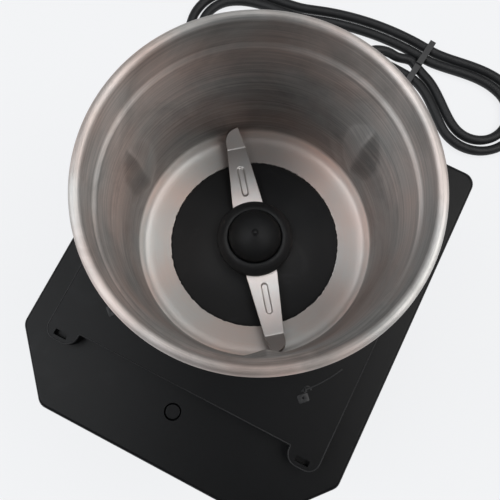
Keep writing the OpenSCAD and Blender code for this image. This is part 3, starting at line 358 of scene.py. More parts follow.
metalLook = {
    "scale": 900.0, "stretch": (400.0, 400.0, 400.0), "markFrom": (0.35, 0.65), "metal": 1.0,
    "rough": 0.35, "relief": 0.00001, "color": (0.60, 0.60, 0.60), "dark": (0.45, 0.45, 0.44)}
finishes["plated_steel"] = plainMetal("platedSteel", metalLook)
finishes["die_cast"] = plainMetal("dieCast", {
    **metalLook, "rough": 0.5, "relief": 0.00008,
    "color": (0.55, 0.56, 0.57), "dark": (0.38, 0.39, 0.40)})
finishes["lamination_steel"] = plainMetal("laminationSteel", {
    **metalLook, "stretch": (6.0, 6.0, 2200.0), "rough": 0.45, "relief": 0.00012,
    "color": (0.30, 0.31, 0.33), "dark": (0.12, 0.12, 0.13)})
finishes["copper_wire"] = plainMetal("copperWire", {
    **metalLook, "stretch": (260.0, 260.0, 2600.0), "rough": 0.32, "relief": 0.0002,
    "color": (0.62, 0.26, 0.11), "dark": (0.25, 0.09, 0.04)})
finishes["bronze"] = plainMetal("turnedBronze", {
    **metalLook, "rough": 0.3, "color": (0.66, 0.47, 0.24), "dark": (0.50, 0.34, 0.17)})
finishes["carbon"] = plainMetal("pressedCarbon", {
    **metalLook, "metal": 0.0, "rough": 0.6,
    "color": (0.02, 0.02, 0.022), "dark": (0.045, 0.045, 0.047)})
rubberLook = {
    "color": (0.012, 0.012, 0.0125), "bloom": (0.030, 0.030, 0.030), "bloomScale": 60.0,
    "bloomFrom": (0.4, 0.75), "grainScale": 2200.0, "grain": 0.00003, "rough": 0.62, "gloss": 0.3}
finishes["black_rubber"] = softRubber("blackRubber", rubberLook)
finishes["cord_pvc"] = softRubber("cordSheath", {
    **rubberLook, "color": (0.011, 0.0115, 0.0125), "bloom": (0.021, 0.022, 0.024),
    "bloomScale": 45.0, "grainScale": 1500.0, "grain": 0.00004, "rough": 0.44, "gloss": 0.32})
slotOf = {s["node"]: s["material_slot"] for s in frame["record"]["subparts"]}
for name, piece in nodes.items():
    piece.data.materials.clear()
    piece.data.materials.append(finishes[slotOf[name]])
print("finishes made:", len(finishes))


# helpers for pieces
def linked(name, mesh, finish):
    piece = bpy.data.objects.new(name, mesh)
    bpy.context.scene.collection.objects.link(piece)
    if finish is not None:
        mesh.materials.clear()
        mesh.materials.append(finishes[finish])
    return piece


def settled(piece):
    bpy.context.view_layer.update()
    graph = bpy.context.evaluated_depsgraph_get()
    mesh = bpy.data.meshes.new_from_object(piece.evaluated_get(graph))
    mesh.name = piece.name
    old = piece.data
    piece.modifiers.clear()
    piece.data = mesh
    if old.users == 0:
        bpy.data.meshes.remove(old)
    return piece


def softened(piece, angle=32):
    for face in piece.data.polygons:
        face.use_smooth = True
    piece.data.set_sharp_from_angle(angle=math.radians(angle))
    return piece


def standsFor(piece, *names):
    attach(piece, nodes[names[0]]["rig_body"])
    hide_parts(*names)
    return piece


def eased(node, name, width, steps=2, finish=None, angle=32):
    work = bmesh.new()
    work.from_mesh(nodes[node].data)
    bmesh.ops.remove_doubles(work, verts=work.verts, dist=solidMeeting)
    bmesh.ops.dissolve_limit(work, angle_limit=nearlyFlat, verts=work.verts, edges=work.edges)
    mesh = bpy.data.meshes.new(name)
    work.to_mesh(mesh)
    work.free()
    piece = linked(name, mesh, finish or slotOf[node])
    edge = piece.modifiers.new("easedEdge", "BEVEL")
    edge.width, edge.segments, edge.limit_method = width, steps, "ANGLE"
    edge.angle_limit, edge.miter_outer = math.radians(angle), "MITER_ARC"
    softened(settled(piece))
    weigh = piece.modifiers.new("flatFaces", "WEIGHTED_NORMAL")
    weigh.keep_sharp, weigh.weight = True, 100
    return settled(piece)


# the mains lead: its points in millimetres, and the hank's turns from its plan
leadPlan = {
    "diameter": 0.006,
    "route": [(-30, 107.02, 16), (-30, 111, 16), (-31.4, 118.7, 14), (-35.3, 125.5, 11),
              (-41.3, 130.5, 8), (-48.7, 133.1, 5.6), (-56.5, 133, 4.2), (-64, 130.2, 3.7),
              (-70, 127.7, 3.6)],
    "tail": [(18, 187.6, 5.6), (10.5, 186.2, 8.5), (3, 182.3, 10.7), (-3.2, 176.2, 11),
             (-7.4, 169, 9.6), (-9, 161.5, 8), (-9, 158, 8)],
    "hub": (14.2, 28.0), "bend": 163.0, "left": -108.0, "run": 176.0, "fold": 19.0, "step": 7.3,
    "draw": 14.9, "ramp": 0.28, "low": 3.6, "runRings": 12, "foldRings": 5,
}


def hankSpot(plan, arc, ahead, aside):
    a = arc / plan["bend"]
    return Vector((plan["hub"][0] + (plan["bend"] + aside) * math.sin(a) + ahead * math.cos(a),
                   plan["hub"][1] + (plan["bend"] + aside) * math.cos(a) - ahead * math.sin(a),
                   plan["low"]))


def hankPoint(plan, i):
    run, fold = plan["runRings"], plan["foldRings"]
    right, near, loop = run + fold, 2 * run + fold, 2 * (run + fold)
    hold = 2 * loop + right
    offset = plan["fold"] + plan["step"] * (hold - i) / loop
    j = i % loop
    if run <= j < right or j >= near:
        onRight = j < right
        a = math.radians(90 - 180 * (j - run) / fold if onRight else -90 - 180 * (j - near) / fold)
        arc = plan["left"] + (plan["run"] if onRight else 0)
        return hankSpot(plan, arc, offset * math.cos(a), offset * math.sin(a))
    u = j / run if j < run else 1 - (j - right) / run
    t = min(min(u, 1 - u) / plan["ramp"], 1)
    aside = offset - plan["draw"] * t * t * (3 - 2 * t)
    return hankSpot(plan, plan["left"] + plan["run"] * u, 0, aside if j < run else -aside)


def leadRoute(plan):
    run, fold = plan["runRings"], plan["foldRings"]
    loop = 2 * (run + fold)
    first, last = 2 * run + fold + 1, 2 * loop + run + fold + 3
    points = [hankPoint(plan, half / 2) for half in range(2 * first, 2 * last + 1)]
    wayIn = (points[1] - points[0]).normalized()
    turn = math.radians(-180 / fold / 4)  # a half ring's chord leans a quarter ring off the tangent
    wayIn = Matrix.Rotation(-turn, 3, "Z") @ wayIn
    wayOut = (points[-1] - points[-2]).normalized()
    route = plan["route"] + [points[0] - wayIn * 8, points[0] - wayIn * 4]
    route += points + [points[-1] + wayOut * 6, points[-1] + wayOut * 12]
    return inMetres(route + plan["tail"])


def rounded(points, parts):
    ends = [points[0] * 2 - points[1]] + points + [points[-1] * 2 - points[-2]]
    made = []
    for a, b, c, d in zip(ends, ends[1:], ends[2:], ends[3:]):
        for k in range(parts):
            t = k / parts
            made.append(0.5 * (2 * b + (c - a) * t + (2 * a - 5 * b + 4 * c - d) * t * t
                               + (3 * b - a - 3 * c + d) * t ** 3))
    return made + [points[-1]]


def tubeAlong(name, points, radius, finish, ring=4):
    data = bpy.data.curves.new(name, "CURVE")
    data.dimensions = "3D"
    data.bevel_depth, data.bevel_resolution, data.use_fill_caps = radius, ring, True
    data.twist_mode = "Z_UP"
    line = data.splines.new("POLY")
    line.points.add(len(points) - 1)
    for spot, p in zip(line.points, points):
        spot.co = (*p, 1)
    line.use_smooth = True
    data.materials.append(finishes[finish])
    piece = bpy.data.objects.new(name, data)
    bpy.context.scene.collection.objects.link(piece)
    return piece


leadPoints = rounded(leadRoute(leadPlan), 3)
leadLength = sum((b - a).length for a, b in zip(leadPoints, leadPoints[1:]))
mainsLead = tubeAlong("mainsLead", leadPoints, leadPlan["diameter"] / 2, "cord_pvc")
standsFor(mainsLead, "power_cord", "cord_hank", "cord_tail")
print("mains lead made, metres:", round(leadLength, 4))


# turned pieces, by one Geometry Nodes tree
class Steps(Graph):
    def __init__(self, name, inputs):
        self.tree = bpy.data.node_groups.new(name, "GeometryNodeTree")
        face = self.tree.interface
        face.new_socket("Geometry", in_out="INPUT", socket_type="NodeSocketGeometry")
        self.ids = {}
        for label, (kind, value) in inputs.items():
            made = face.new_socket(label, in_out="INPUT", socket_type=kind)
            if value is not None:
                made.default_value = value
            self.ids[label] = made.identifier
        face.new_socket("Geometry", in_out="OUTPUT", socket_type="NodeSocketGeometry")
        self.start = self.tree.nodes.new("NodeGroupInput")
        self.end = self.tree.nodes.new("NodeGroupOutput")

    def given(self, label):
        return self.start.outputs[label]

    def math(self, operation, *values):
        return self.node("ShaderNodeMath", {"operation": operation},
                         dict(enumerate(values))).outputs[0]

    def apply(self, piece, values):
        use = piece.modifiers.new("steps", "NODES")
        use.node_group = self.tree
        for label, value in values.items():
            use[self.ids[label]] = value
        return settled(piece)


# a dent's outline is a lens, blunt along the bowl and pointed across it, with a flat middle
dentForm = {"along": 3.2, "across": 1.08, "flat": 0.92, "blend": 0.16}


def turnedTree():
    number, whole = "NodeSocketFloat", "NodeSocketInt"
    steps = Steps("turnedPiece", {
        "Sides": (whole, 96), "Dents": (whole, 0), "First Dent": (number, 0.0),
        "Dent Depth": (number, 0.0), "Dent Width": (number, 0.008), "Dent Low": (number, 0.0),
        "Dent High": (number, 0.0), "Dent Inside": (number, 0.035), "Burr": (number, 0.0),
        "Burr Within": (number, 0.0), "Finish": ("NodeSocketMaterial", None)})
    m = steps.math
    count = steps.node("GeometryNodeAttributeDomainSize", {"component": "MESH"},
                       {0: steps.given("Geometry")}).outputs["Point Count"]
    sides = steps.given("Sides")
    grid = steps.node("GeometryNodeMeshGrid", {}, {
        "Vertices X": m("ADD", sides, 1.0), "Vertices Y": count}).outputs["Mesh"]
    index = steps.node("GeometryNodeInputIndex").outputs[0]
    row = m("MODULO", index, count)
    column = m("FLOOR", m("DIVIDE", m("ADD", index, 0.5), count))
    spot = steps.node("GeometryNodeSampleIndex", {"data_type": "FLOAT_VECTOR"}, {
        "Geometry": steps.given("Geometry"),
        "Value": steps.node("GeometryNodeInputPosition").outputs[0],
        "Index": row}).outputs[0]
    parts = steps.node("ShaderNodeSeparateXYZ", {}, {0: spot})
    radius, height = parts.outputs[0], parts.outputs[2]
    angle = m("MULTIPLY", m("DIVIDE", column, sides), 2 * math.pi)
    share = m("DIVIDE", 2 * math.pi, m("MAXIMUM", steps.given("Dents"), 1.0))
    turned = m("ADD", m("SUBTRACT", angle, steps.given("First Dent")), m("DIVIDE", share, 2.0))
    off = m("SUBTRACT", m("FLOORED_MODULO", turned, share), m("DIVIDE", share, 2.0))
    aside = m("DIVIDE", m("MULTIPLY", m("ABSOLUTE", off), radius), steps.given("Dent Width"))
    low, high = steps.given("Dent Low"), steps.given("Dent High")
    middle = m("DIVIDE", m("ADD", high, low), 2.0)
    reach = m("DIVIDE", m("SUBTRACT", high, low), 2.0)
    rise = m("DIVIDE", m("ABSOLUTE", m("SUBTRACT", height, middle)), m("MAXIMUM", reach, 1e-5))
    bulge = m("SUBTRACT", 1.0, m("POWER", rise, dentForm["along"]))
    lens = m("MAXIMUM", m("SUBTRACT", bulge, m("POWER", aside, dentForm["across"])), 0.0)
    dent = m("SMOOTH_MIN", lens, dentForm["flat"], dentForm["blend"])
    inside = m("GREATER_THAN", radius, steps.given("Dent Inside"))
    some = m("MINIMUM", steps.given("Dents"), 1.0)
    push = m("MULTIPLY", m("MULTIPLY", m("MULTIPLY", dent, steps.given("Dent Depth")), inside), some)
    wobble = steps.node("ShaderNodeTexNoise", {"noise_dimensions": "2D"}, {
        "Vector": steps.node("ShaderNodeCombineXYZ", {}, {
            0: m("COSINE", angle), 1: m("SINE", angle)}).outputs[0],
        "Scale": 24.0, "Detail": 4.0, "Roughness": 0.75}).outputs[0]
    atEdge = m("LESS_THAN", radius, steps.given("Burr Within"))
    burr = m("MULTIPLY", m("MULTIPLY", m("SUBTRACT", wobble, 0.5), steps.given("Burr")), atEdge)
    drawn = m("ADD", m("SUBTRACT", radius, push), burr)
    place = steps.node("ShaderNodeCombineXYZ", {}, {
        0: m("MULTIPLY", drawn, m("COSINE", angle)), 1: m("MULTIPLY", drawn, m("SINE", angle)),
        2: height}).outputs[0]
    shaped = steps.node("GeometryNodeSetPosition", {}, {"Geometry": grid, "Position": place})
    closed = steps.node("GeometryNodeMergeByDistance", {}, {0: shaped.outputs[0], "Distance": 1e-6})
    smooth = steps.node("GeometryNodeSetShadeSmooth", {}, {0: closed.outputs[0]})
    real = steps.node("GeometryNodeRealizeInstances", {}, {0: smooth.outputs[0]})
    done = steps.node("GeometryNodeSetMaterial", {}, {
        "Geometry": real.outputs[0], "Material": steps.given("Finish")})
    steps.feed(steps.end.inputs[0], done.outputs[0])
    return steps


turning = turnedTree()


def turnedPiece(name, outline, finish, sides=96, place=(*bowlAxis, 0), turn=None, angle=40, more=None):
    mesh = bpy.data.meshes.new(name)
    spots = [(r * mm, 0, z * mm) for r, z in outline]
    mesh.from_pydata(spots, [(i, i + 1) for i in range(len(spots) - 1)], [])
    piece = linked(name, mesh, None)
    turning.apply(piece, {"Sides": sides, "Finish": finishes[finish], **(more or {})})
    work = bmesh.new()
    work.from_mesh(piece.data)
    bmesh.ops.remove_doubles(work, verts=work.verts, dist=meeting)
    bmesh.ops.dissolve_degenerate(work, dist=meeting, edges=work.edges)
    bmesh.ops.recalc_face_normals(work, faces=work.faces)
    work.to_mesh(piece.data)
    work.free()
    if turn is not None:
        piece.data.transform(turn)
    piece.data.transform(Matrix.Translation(place))
    return softened(piece, angle)


def arc(x, z, r, a0, a1, parts):
    angles = [math.radians(a0 + (a1 - a0) * k / parts) for k in range(parts + 1)]
    return [(x + r * math.cos(a), z + r * math.sin(a)) for a in angles]


def smoothStep(t):
    t = min(max(t, 0), 1)
    return t * t * (3 - 2 * t)


bowlPlan = {
    "rim": 215.0, "floor": 139.5, "inner": 41.2, "steel": 0.8, "step": 1.1, "ledge": 203.2,
    "roll": 1.45, "rimOut": 3.8, "dish": 7.0, "steepest": 82, "steps": 60, "hole": 30.8,
    "wallParts": 40, "lineDeep": 0.14, "dents": 3, "firstDent": 61.0, "dentDepth": 2.3,
    "dentWidth": 7.6, "dentLow": 150.5, "dentHigh": 189.0, "dentInside": 39.5, "burr": 1.1,
    "burrWithin": 31.0,
}


def dishLine(p):
    r0 = p["hole"] + 0.05
    line, z = [(r0, p["floor"])], p["floor"]
    stride = (p["inner"] - r0) / p["steps"]
    for k in range(1, p["steps"] + 1):
        share = (k - 0.5) / p["steps"]  # the floor turns up ever faster towards the wall
        z += stride * math.tan(math.radians(min(90 * share ** p["dish"], p["steepest"])))
        line.append((r0 + stride * k, z))
    return line


def bowlOutline(p):
    upper, thick, parts = p["inner"] + p["step"], p["steel"], p["wallParts"]
    rollX, rollZ = p["inner"] + p["rimOut"] - p["roll"], p["rim"] - p["roll"]
    inner = arc(rollX, rollZ, p["roll"], 90, 206, 12)
    inner += [(upper, rollZ - 1.4), (upper, rollZ - 4), (upper, p["ledge"] + 2.4)]
    for k in range(13):  # the ledge is drawn in over a soft curve
        t = k / 12
        inner.append((p["inner"] + p["step"] * (1 - t * t * (3 - 2 * t)), p["ledge"] + 1.1 - 2.2 * t))
    foot = dishLine(p)
    top, bottom = p["ledge"] - 2, foot[-1][1] + 3.4
    inner += [(p["inner"], top + (bottom - top) * k / parts) for k in range(parts + 1)]
    inner += [(p["inner"] - p["lineDeep"], bottom - 0.45), (p["inner"], bottom - 0.9)]  # a stamped line
    inner += list(reversed(foot))
    outer = [(p["hole"], p["floor"] - 0.05), (p["hole"], p["floor"] - thick)]
    outer += [(r + thick * (r - p["hole"]) / (p["inner"] - p["hole"]), z - thick) for r, z in foot[4:]]
    outer += [(p["inner"] + thick, bottom + (top - bottom) * k / parts) for k in range(parts + 1)]
    for k in range(9):
        t = k / 8
        outer.append((p["inner"] + thick + p["step"] * t * t * (3 - 2 * t), p["ledge"] - 1.6 + 2.2 * t))
    outer += [(upper + thick, p["ledge"] + 1.6), (upper + thick, rollZ - 2.6)]
    return inner + outer + arc(rollX, rollZ, p["roll"], -106, 90, 20)


def makeBowl(p):
    dents = {"Dents": p["dents"], "First Dent": math.radians(p["firstDent"])}
    for label, key in (("Dent Depth", "dentDepth"), ("Dent Width", "dentWidth"),
                       ("Dent Low", "dentLow"), ("Dent High", "dentHigh"),
                       ("Dent Inside", "dentInside"), ("Burr", "burr"),
                       ("Burr Within", "burrWithin")):
        dents[label] = p[key] * mm
    return turnedPiece("bowlCup", bowlOutline(p), "bowl_steel", 288, angle=50, more=dents)


bowlCup = standsFor(makeBowl(bowlPlan), "bowl_cup")
print("bowl made, faces:", len(bowlCup.data.polygons))

hubPlan = {"foot": 146.2, "ringR": 13.5, "ringH": 5.1, "capR": 9.1, "dome": 6.0, "seat": 1.8,
           "bore": 3.02, "bushDeep": 3.0}


def ringOutline(p):
    foot, out, cap, top = p["foot"], p["ringR"], p["capR"], p["foot"] + p["ringH"]
    line = [(p["bore"], foot), (out - 0.3, foot), (out, foot + 0.3), (out, foot + 1.0),
            (out - 0.15, foot + 1.6), (out - 0.55, foot + 2.2), (out - 1.2, foot + 2.95)]
    line += [(cap + 2.2, top - 1.15), (cap + 1.4, top - 0.8), (cap + 0.8, top - 0.75),
             (cap + 0.4, top - 0.95), (cap + 0.2, top - 1.4)]
    return line + [(cap + 0.2, foot + p["seat"]), (p["bore"], foot + p["seat"]), (p["bore"], foot)]


def capOutline(p):
    foot, out = p["foot"] + p["seat"], p["capR"]
    skirt = p["ringH"] - p["seat"] - 0.1
    line = [(0, foot + p["bushDeep"]), (p["bore"], foot + p["bushDeep"]), (p["bore"], foot),
            (out - 0.2, foot), (out, foot + 0.2), (out, foot + skirt - 0.3)]
    for k in range(15):
        a = math.radians(88 * k / 15)
        line.append((out * math.cos(a), foot + skirt + p["dome"] * math.sin(a)))
    top = foot + skirt + p["dome"]  # a groove and a small peak sit on the dome
    return line + [(1.95, top - 0.12), (1.75, top - 0.2), (1.5, top - 0.16), (1.25, top - 0.02),
                   (0.8, top + 0.25), (0.72, top + 0.6), (0.5, top + 0.77), (0, top + 0.8)]


standsFor(turnedPiece("hubRing", ringOutline(hubPlan), "hub_plastic", 128), "hub_ring")
standsFor(turnedPiece("hubCap", capOutline(hubPlan), "cap_plastic_painted_shade"), "hub_cap")

discPlan = {"bush": 6.02, "tube": 10.0, "tubeZ": 126.5, "flangeR": 35.3, "flangeZ": 135.5,
            "flangeT": 2.4, "top": 141.7, "edgeR": 30.6, "floor": 139.5, "hub": 14.5}


def discOutline(p):
    flange = p["flangeZ"] + p["flangeT"]
    line = [(p["bush"], p["tubeZ"]), (p["tube"] - 0.3, p["tubeZ"]), (p["tube"], p["tubeZ"] + 0.3),
            (p["tube"], p["flangeZ"]), (p["flangeR"], p["flangeZ"]), (p["flangeR"], flange),
            (p["edgeR"], flange), (p["edgeR"], p["floor"] - 0.4),
            (p["edgeR"] - 0.2, p["floor"] - 0.22), (p["edgeR"] - 0.7, p["floor"] - 0.1)]
    for k in range(1, 9):
        t = k / 8
        line.append((p["edgeR"] - 0.7 + (p["hub"] - p["edgeR"] + 0.7) * t,
                     p["floor"] - 0.1 + (p["top"] - p["floor"] + 0.1) * t))
    return line + [(p["bush"], p["top"]), (p["bush"], p["tubeZ"])]


standsFor(turnedPiece("bearingDisc", discOutline(discPlan), "hub_plastic", 160), "bearing_disc")
print("hub and disc made")


# the blade
bladePlan = {"z": 145.0, "thick": 1.2, "turn": bladeTurn, "hub": 10.0, "root": 5.5, "rootAt": 13.5,
             "tip": 3.4, "bend": 34.7, "tipLen": 7.7, "lift": 38.0, "bendR": 1.8, "round": 5.0,
             "lean": 1.6, "groove": (17.4, 26.1), "grooveR": 1.05, "grooveFlat": 0.62,
             "grooveSide": 0.75, "grooveDeep": 0.42, "edge": 0.16}


def bladeSides(p, run):
    if run < p["rootAt"]:
        half = max(p["root"], math.sqrt(max(p["hub"] ** 2 - run * run, 0)))
    else:
        half = p["root"] + (p["tip"] - p["root"]) * min((run - p["rootAt"]) / (p["bend"] - p["rootAt"]), 1)
    past = max(run - p["bend"], 0)
    low, high, end = -half + p["lean"] * past / p["tipLen"], half, p["bend"] + p["tipLen"]
    if run > end - p["round"]:
        high = half - p["round"] + math.sqrt(max(p["round"] ** 2 - (run - end + p["round"]) ** 2, 0))
    return low, max(high, low + 0.3)


def bladePoint(p, x, v, side):
    sign, run = (1 if x >= 0 else -1), abs(x)
    low, high = bladeSides(p, run)
    y = (high + low) / 2 + (high - low) / 2 * v
    z = p["thick"] / 2 * side - (p["edge"] * side if abs(v) > 0.99 else 0)
    near = min(max(run, p["groove"][0]), p["groove"][1])
    away = math.hypot(run - near, y) / p["grooveR"]
    z -= p["grooveDeep"] * (1 - smoothStep((away - p["grooveFlat"]) / p["grooveSide"]))
    lift = math.radians(p["lift"])
    arcLen = p["bendR"] * lift
    past = run - p["bend"] + arcLen / 2
    if past > 0:
        turn = min(past / p["bendR"], lift)
        over = max(past - arcLen, 0)
        flatX = p["bend"] - arcLen / 2 + p["bendR"] * math.sin(turn) + over * math.cos(turn)
        flatZ = p["bendR"] * (1 - math.cos(turn)) + over * math.sin(turn)
        run, z = flatX - z * math.sin(turn), flatZ + z * math.cos(turn)
    return Vector((sign * run, sign * y, z + p["thick"] / 2))


def makeBlade(p):
    end = p["bend"] + p["tipLen"]
    # rows across the arm, closer at the groove, the bend and the tip
    stops = [0, 2, 4, 6, 7.5, 8.35, 9.5, 11.5, 13.5]
    stops += [15.2 + 0.22 * k for k in range(60)] + [29.5, 31, 32.5, 33.6]
    stops += [p["bend"] - 0.6 + 0.1 * k for k in range(13)] + [p["bend"] + 1.4, p["bend"] + 2.2]
    stops += [end - p["round"] + p["round"] * math.sin(math.pi / 2 * k / 14) for k in range(15)]
    stops = sorted(set(round(s, 4) for s in stops))
    xs = [-s for s in reversed(stops[1:])] + stops
    vs = [-1, -0.975] + [-0.95 + 0.11 * k for k in range(6)] + [-0.37 + 0.02 * k for k in range(38)]
    vs += [0.95 - 0.11 * k for k in reversed(range(6))] + [0.975, 1]
    work = bmesh.new()
    grid = {side: [[work.verts.new(bladePoint(p, x, v, side)) for v in vs] for x in xs] for side in (1, -1)}
    for i in range(len(xs) - 1):
        for j in range(len(vs) - 1):
            for side in (1, -1):
                g = grid[side]
                work.faces.new((g[i][j], g[i + 1][j], g[i + 1][j + 1], g[i][j + 1]))
        for j in (0, len(vs) - 1):
            work.faces.new((grid[1][i][j], grid[1][i + 1][j], grid[-1][i + 1][j], grid[-1][i][j]))
    for i in (0, len(xs) - 1):
        for j in range(len(vs) - 1):
            work.faces.new((grid[1][i][j], grid[1][i][j + 1], grid[-1][i][j + 1], grid[-1][i][j]))
    bmesh.ops.remove_doubles(work, verts=work.verts, dist=0.002)
    bmesh.ops.recalc_face_normals(work, faces=work.faces)
    bmesh.ops.scale(work, vec=(mm, mm, mm), verts=work.verts)
    mesh = bpy.data.meshes.new("bladeArms")
    work.to_mesh(mesh)
    work.free()
    mesh.transform(Matrix.Translation((*bowlAxis, p["z"] * mm))
                   @ Matrix.Rotation(math.radians(p["turn"]), 4, "Z"))
    return softened(linked("bladeArms", mesh, "blade_steel"), 30)


standsFor(makeBlade(bladePlan), "blade")
print("blade made")


# the housing: solids whose edges are eased, with width in metres, steps and a finish of their own
easePlan = {
    "deck_cover": ("deckCover", 0.00045, 3),
    "base_shell": ("baseShell", 0.0005, 2),
    "bottom_cover": ("bottomCover", 0.0003, 2),
    "bowl_base": ("bowlBase", 0.0005, 2),
    "interlock_plunger": ("plungerButton", 0.0003, 3, "housing_plastic"),
    "plug_pins": ("plugPins", 0.0004, 2),
    "seat_ring": ("seatRing", 0.0003, 2),
    "driven_coupling": ("drivenCoupling", 0.0003, 2),
    "drive_coupling": ("driveCoupling", 0.0003, 2),
}
for node, (name, *look) in easePlan.items():
    standsFor(eased(node, name, *look), node)
print("housing made")


# marks on the panel: padlocks and arrows
def flatShape(name, outlines, thick, edge, finish):
    data = bpy.data.curves.new(name, "CURVE")
    data.dimensions, data.fill_mode = "2D", "BOTH"
    data.extrude, data.bevel_depth, data.bevel_resolution, data.offset = thick / 2 - edge, edge, 1, -edge
    for outline in outlines:
        line = data.splines.new("POLY")
        line.points.add(len(outline) - 1)
        line.use_cyclic_u = True
        for spot, (x, y) in zip(line.points, outline):
            spot.co = (x * mm, y * mm, 0, 1)
    shape = bpy.data.objects.new(name + "Line", data)
    bpy.context.scene.collection.objects.link(shape)
    bpy.context.view_layer.update()
    mesh = bpy.data.meshes.new_from_object(shape.evaluated_get(bpy.context.evaluated_depsgraph_get()))
    bpy.data.objects.remove(shape)
    mesh.name = name
    return linked(name, mesh, finish)


def circleLine(x, y, r, a0=0, a1=360, parts=24):
    return [(x + r * math.cos(math.radians(a0 + (a1 - a0) * k / parts)),
             y + r * math.sin(math.radians(a0 + (a1 - a0) * k / parts)))
            for k in range(parts + (0 if a1 - a0 >= 360 else 1))]


def roundBox(x0, x1, y0, y1, r):
    return (circleLine(x1 - r, y1 - r, r, 0, 90, 4) + circleLine(x0 + r, y1 - r, r, 90, 180, 4)
            + circleLine(x0 + r, y0 + r, r, 180, 270, 4) + circleLine(x1 - r, y0 + r, r, 270, 360 - 0.01, 4))


lockPlan = {"half": 2.1, "low": -1.9, "high": 1.3, "corner": 0.4, "holeZ": -0.2, "holeR": 0.5,
            "bowZ": 2.2, "bowOut": 1.55, "bowIn": 0.95, "foot": 1.2, "openFoot": 1.5, "openBy": 2.6}


def padlock(p, opened):
    shift, foot = (p["openBy"], p["openFoot"]) if opened else (0.0, p["foot"])
    body = roundBox(-p["half"], p["half"], p["low"], p["high"], p["corner"])
    keyhole = circleLine(0, p["holeZ"], p["holeR"], parts=14)
    bow = [(shift + p["bowOut"], foot)] + circleLine(shift, p["bowZ"], p["bowOut"], 0, 180, 14)
    bow += [(shift - p["bowOut"], p["foot"]), (shift - p["bowIn"], p["foot"])]
    bow += circleLine(shift, p["bowZ"], p["bowIn"], 180, 0, 14) + [(shift + p["bowIn"], foot)]
    return [body, keyhole, bow]


def arrowLine(p, a0, a1):
    r, way = p["arrowR"], 1 if a1 > a0 else -1
    neck = a1 - way * math.degrees(p["headLen"] / r)
    outer = circleLine(0, 0, r + p["shaftHalf"], a0, neck, 16)
    inner = circleLine(0, 0, r - p["shaftHalf"], neck, a0, 16)
    head = [(r + p["headHalf"], neck), (r, a1), (r - p["headHalf"], neck)]
    return outer + [(rr * math.cos(math.radians(a)), rr * math.sin(math.radians(a)))
                    for rr, a in head] + inner


markPlan = {"z": 122.06, "thick": 0.36, "edge": 0.08,
            "openAt": (60.0, -45.0), "shutAt": (60.5, 230.0),
            "arrowR": 57.6, "arrows": ((-27.0, -45.0), (207.0, 223.0)),
            "shaftHalf": 0.22, "headLen": 2.2, "headHalf": 1.0}


def laidMark(p, outlines, x, y, turn):
    piece = flatShape("mark", outlines, p["thick"] * mm, p["edge"] * mm, "housing_plastic")
    piece.data.transform(Matrix.Translation((x * mm, y * mm, p["z"] * mm))
                         @ Matrix.Rotation(math.radians(turn), 4, "Z"))
    return piece


def makeMarks(p):
    pieces, middle = [], bowlAxis[1] / mm
    for opened, (r, a) in ((True, p["openAt"]), (False, p["shutAt"])):
        x, y = r * math.cos(math.radians(a)), r * math.sin(math.radians(a))
        pieces.append(laidMark(p, padlock(lockPlan, opened), x, y + middle, a + 90))
    for a0, a1 in p["arrows"]:
        pieces.append(laidMark(p, [arrowLine(p, a0, a1)], 0, middle, 0))
    work = bmesh.new()
    for piece in pieces:
        work.from_mesh(piece.data)
        bpy.data.objects.remove(piece)
    bmesh.ops.remove_doubles(work, verts=work.verts, dist=meeting)
    mesh = bpy.data.meshes.new("panelMarks")
    work.to_mesh(mesh)
    work.free()
    # the marks take the lighter plastic: a painted highlight on their raised faces
    marks = softened(linked("panelMarks", mesh, "mark_plastic"))
    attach(marks, "base")


makeMarks(markPlan)

# a thin bead along the panel's edge and round its two lobes, a small raised rim in lighter plastic: a
# painted highlight for the light on the panel's rounded edge
beadPlan = {"half": 59.0, "inner": 45.5, "front": -50.5, "tip": -56.5, "back": 72.0, "r": 5.0,
            "inset": 0.4, "chamfer": 0.4, "z": 121.98, "thick": 0.22}


def makeBead(p):
    half, inner, tip, r, cut = p["half"], p["inner"], p["tip"], p["r"], p["chamfer"]
    bend, side, front = r - p["inset"], inner + p["inset"], p["front"] + p["inset"]

    def corner(x, y, a0, a1):
        return circleLine(x, y, bend, a0, a1, 8)
    line = corner(half - r, p["back"] - r, 0, 90) + corner(r - half, p["back"] - r, 90, 180)
    line += corner(r - half, tip + r, 180, 270) + corner(-inner - r, tip + r, 270, 359.9)
    line += [(-side, front - cut), (cut - side, front), (side - cut, front), (side, front - cut)]
    line += corner(inner + r, tip + r, 180, 270) + corner(half - r, tip + r, 270, 359.9)
    spots = inMetres([(x, y, p["z"]) for x, y in line + line[:1]])
    bead = tubeAlong("panelBeadHighlight", spots, p["thick"] * mm, "mark_plastic", 2)
    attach(bead, "base")


makeBead(beadPlan)
print("marks made")


# strain relief and plug
reliefPlan = {"exit": (-30.0, 82.0, 16.0), "neck": 5.0, "flange": 6.8, "bore": 3.05, "inside": -4.8,
              "length": 25.0, "wide": 4.9, "slim": 3.5, "ribs": 7, "ribsFrom": 3.0, "end": 4.5}


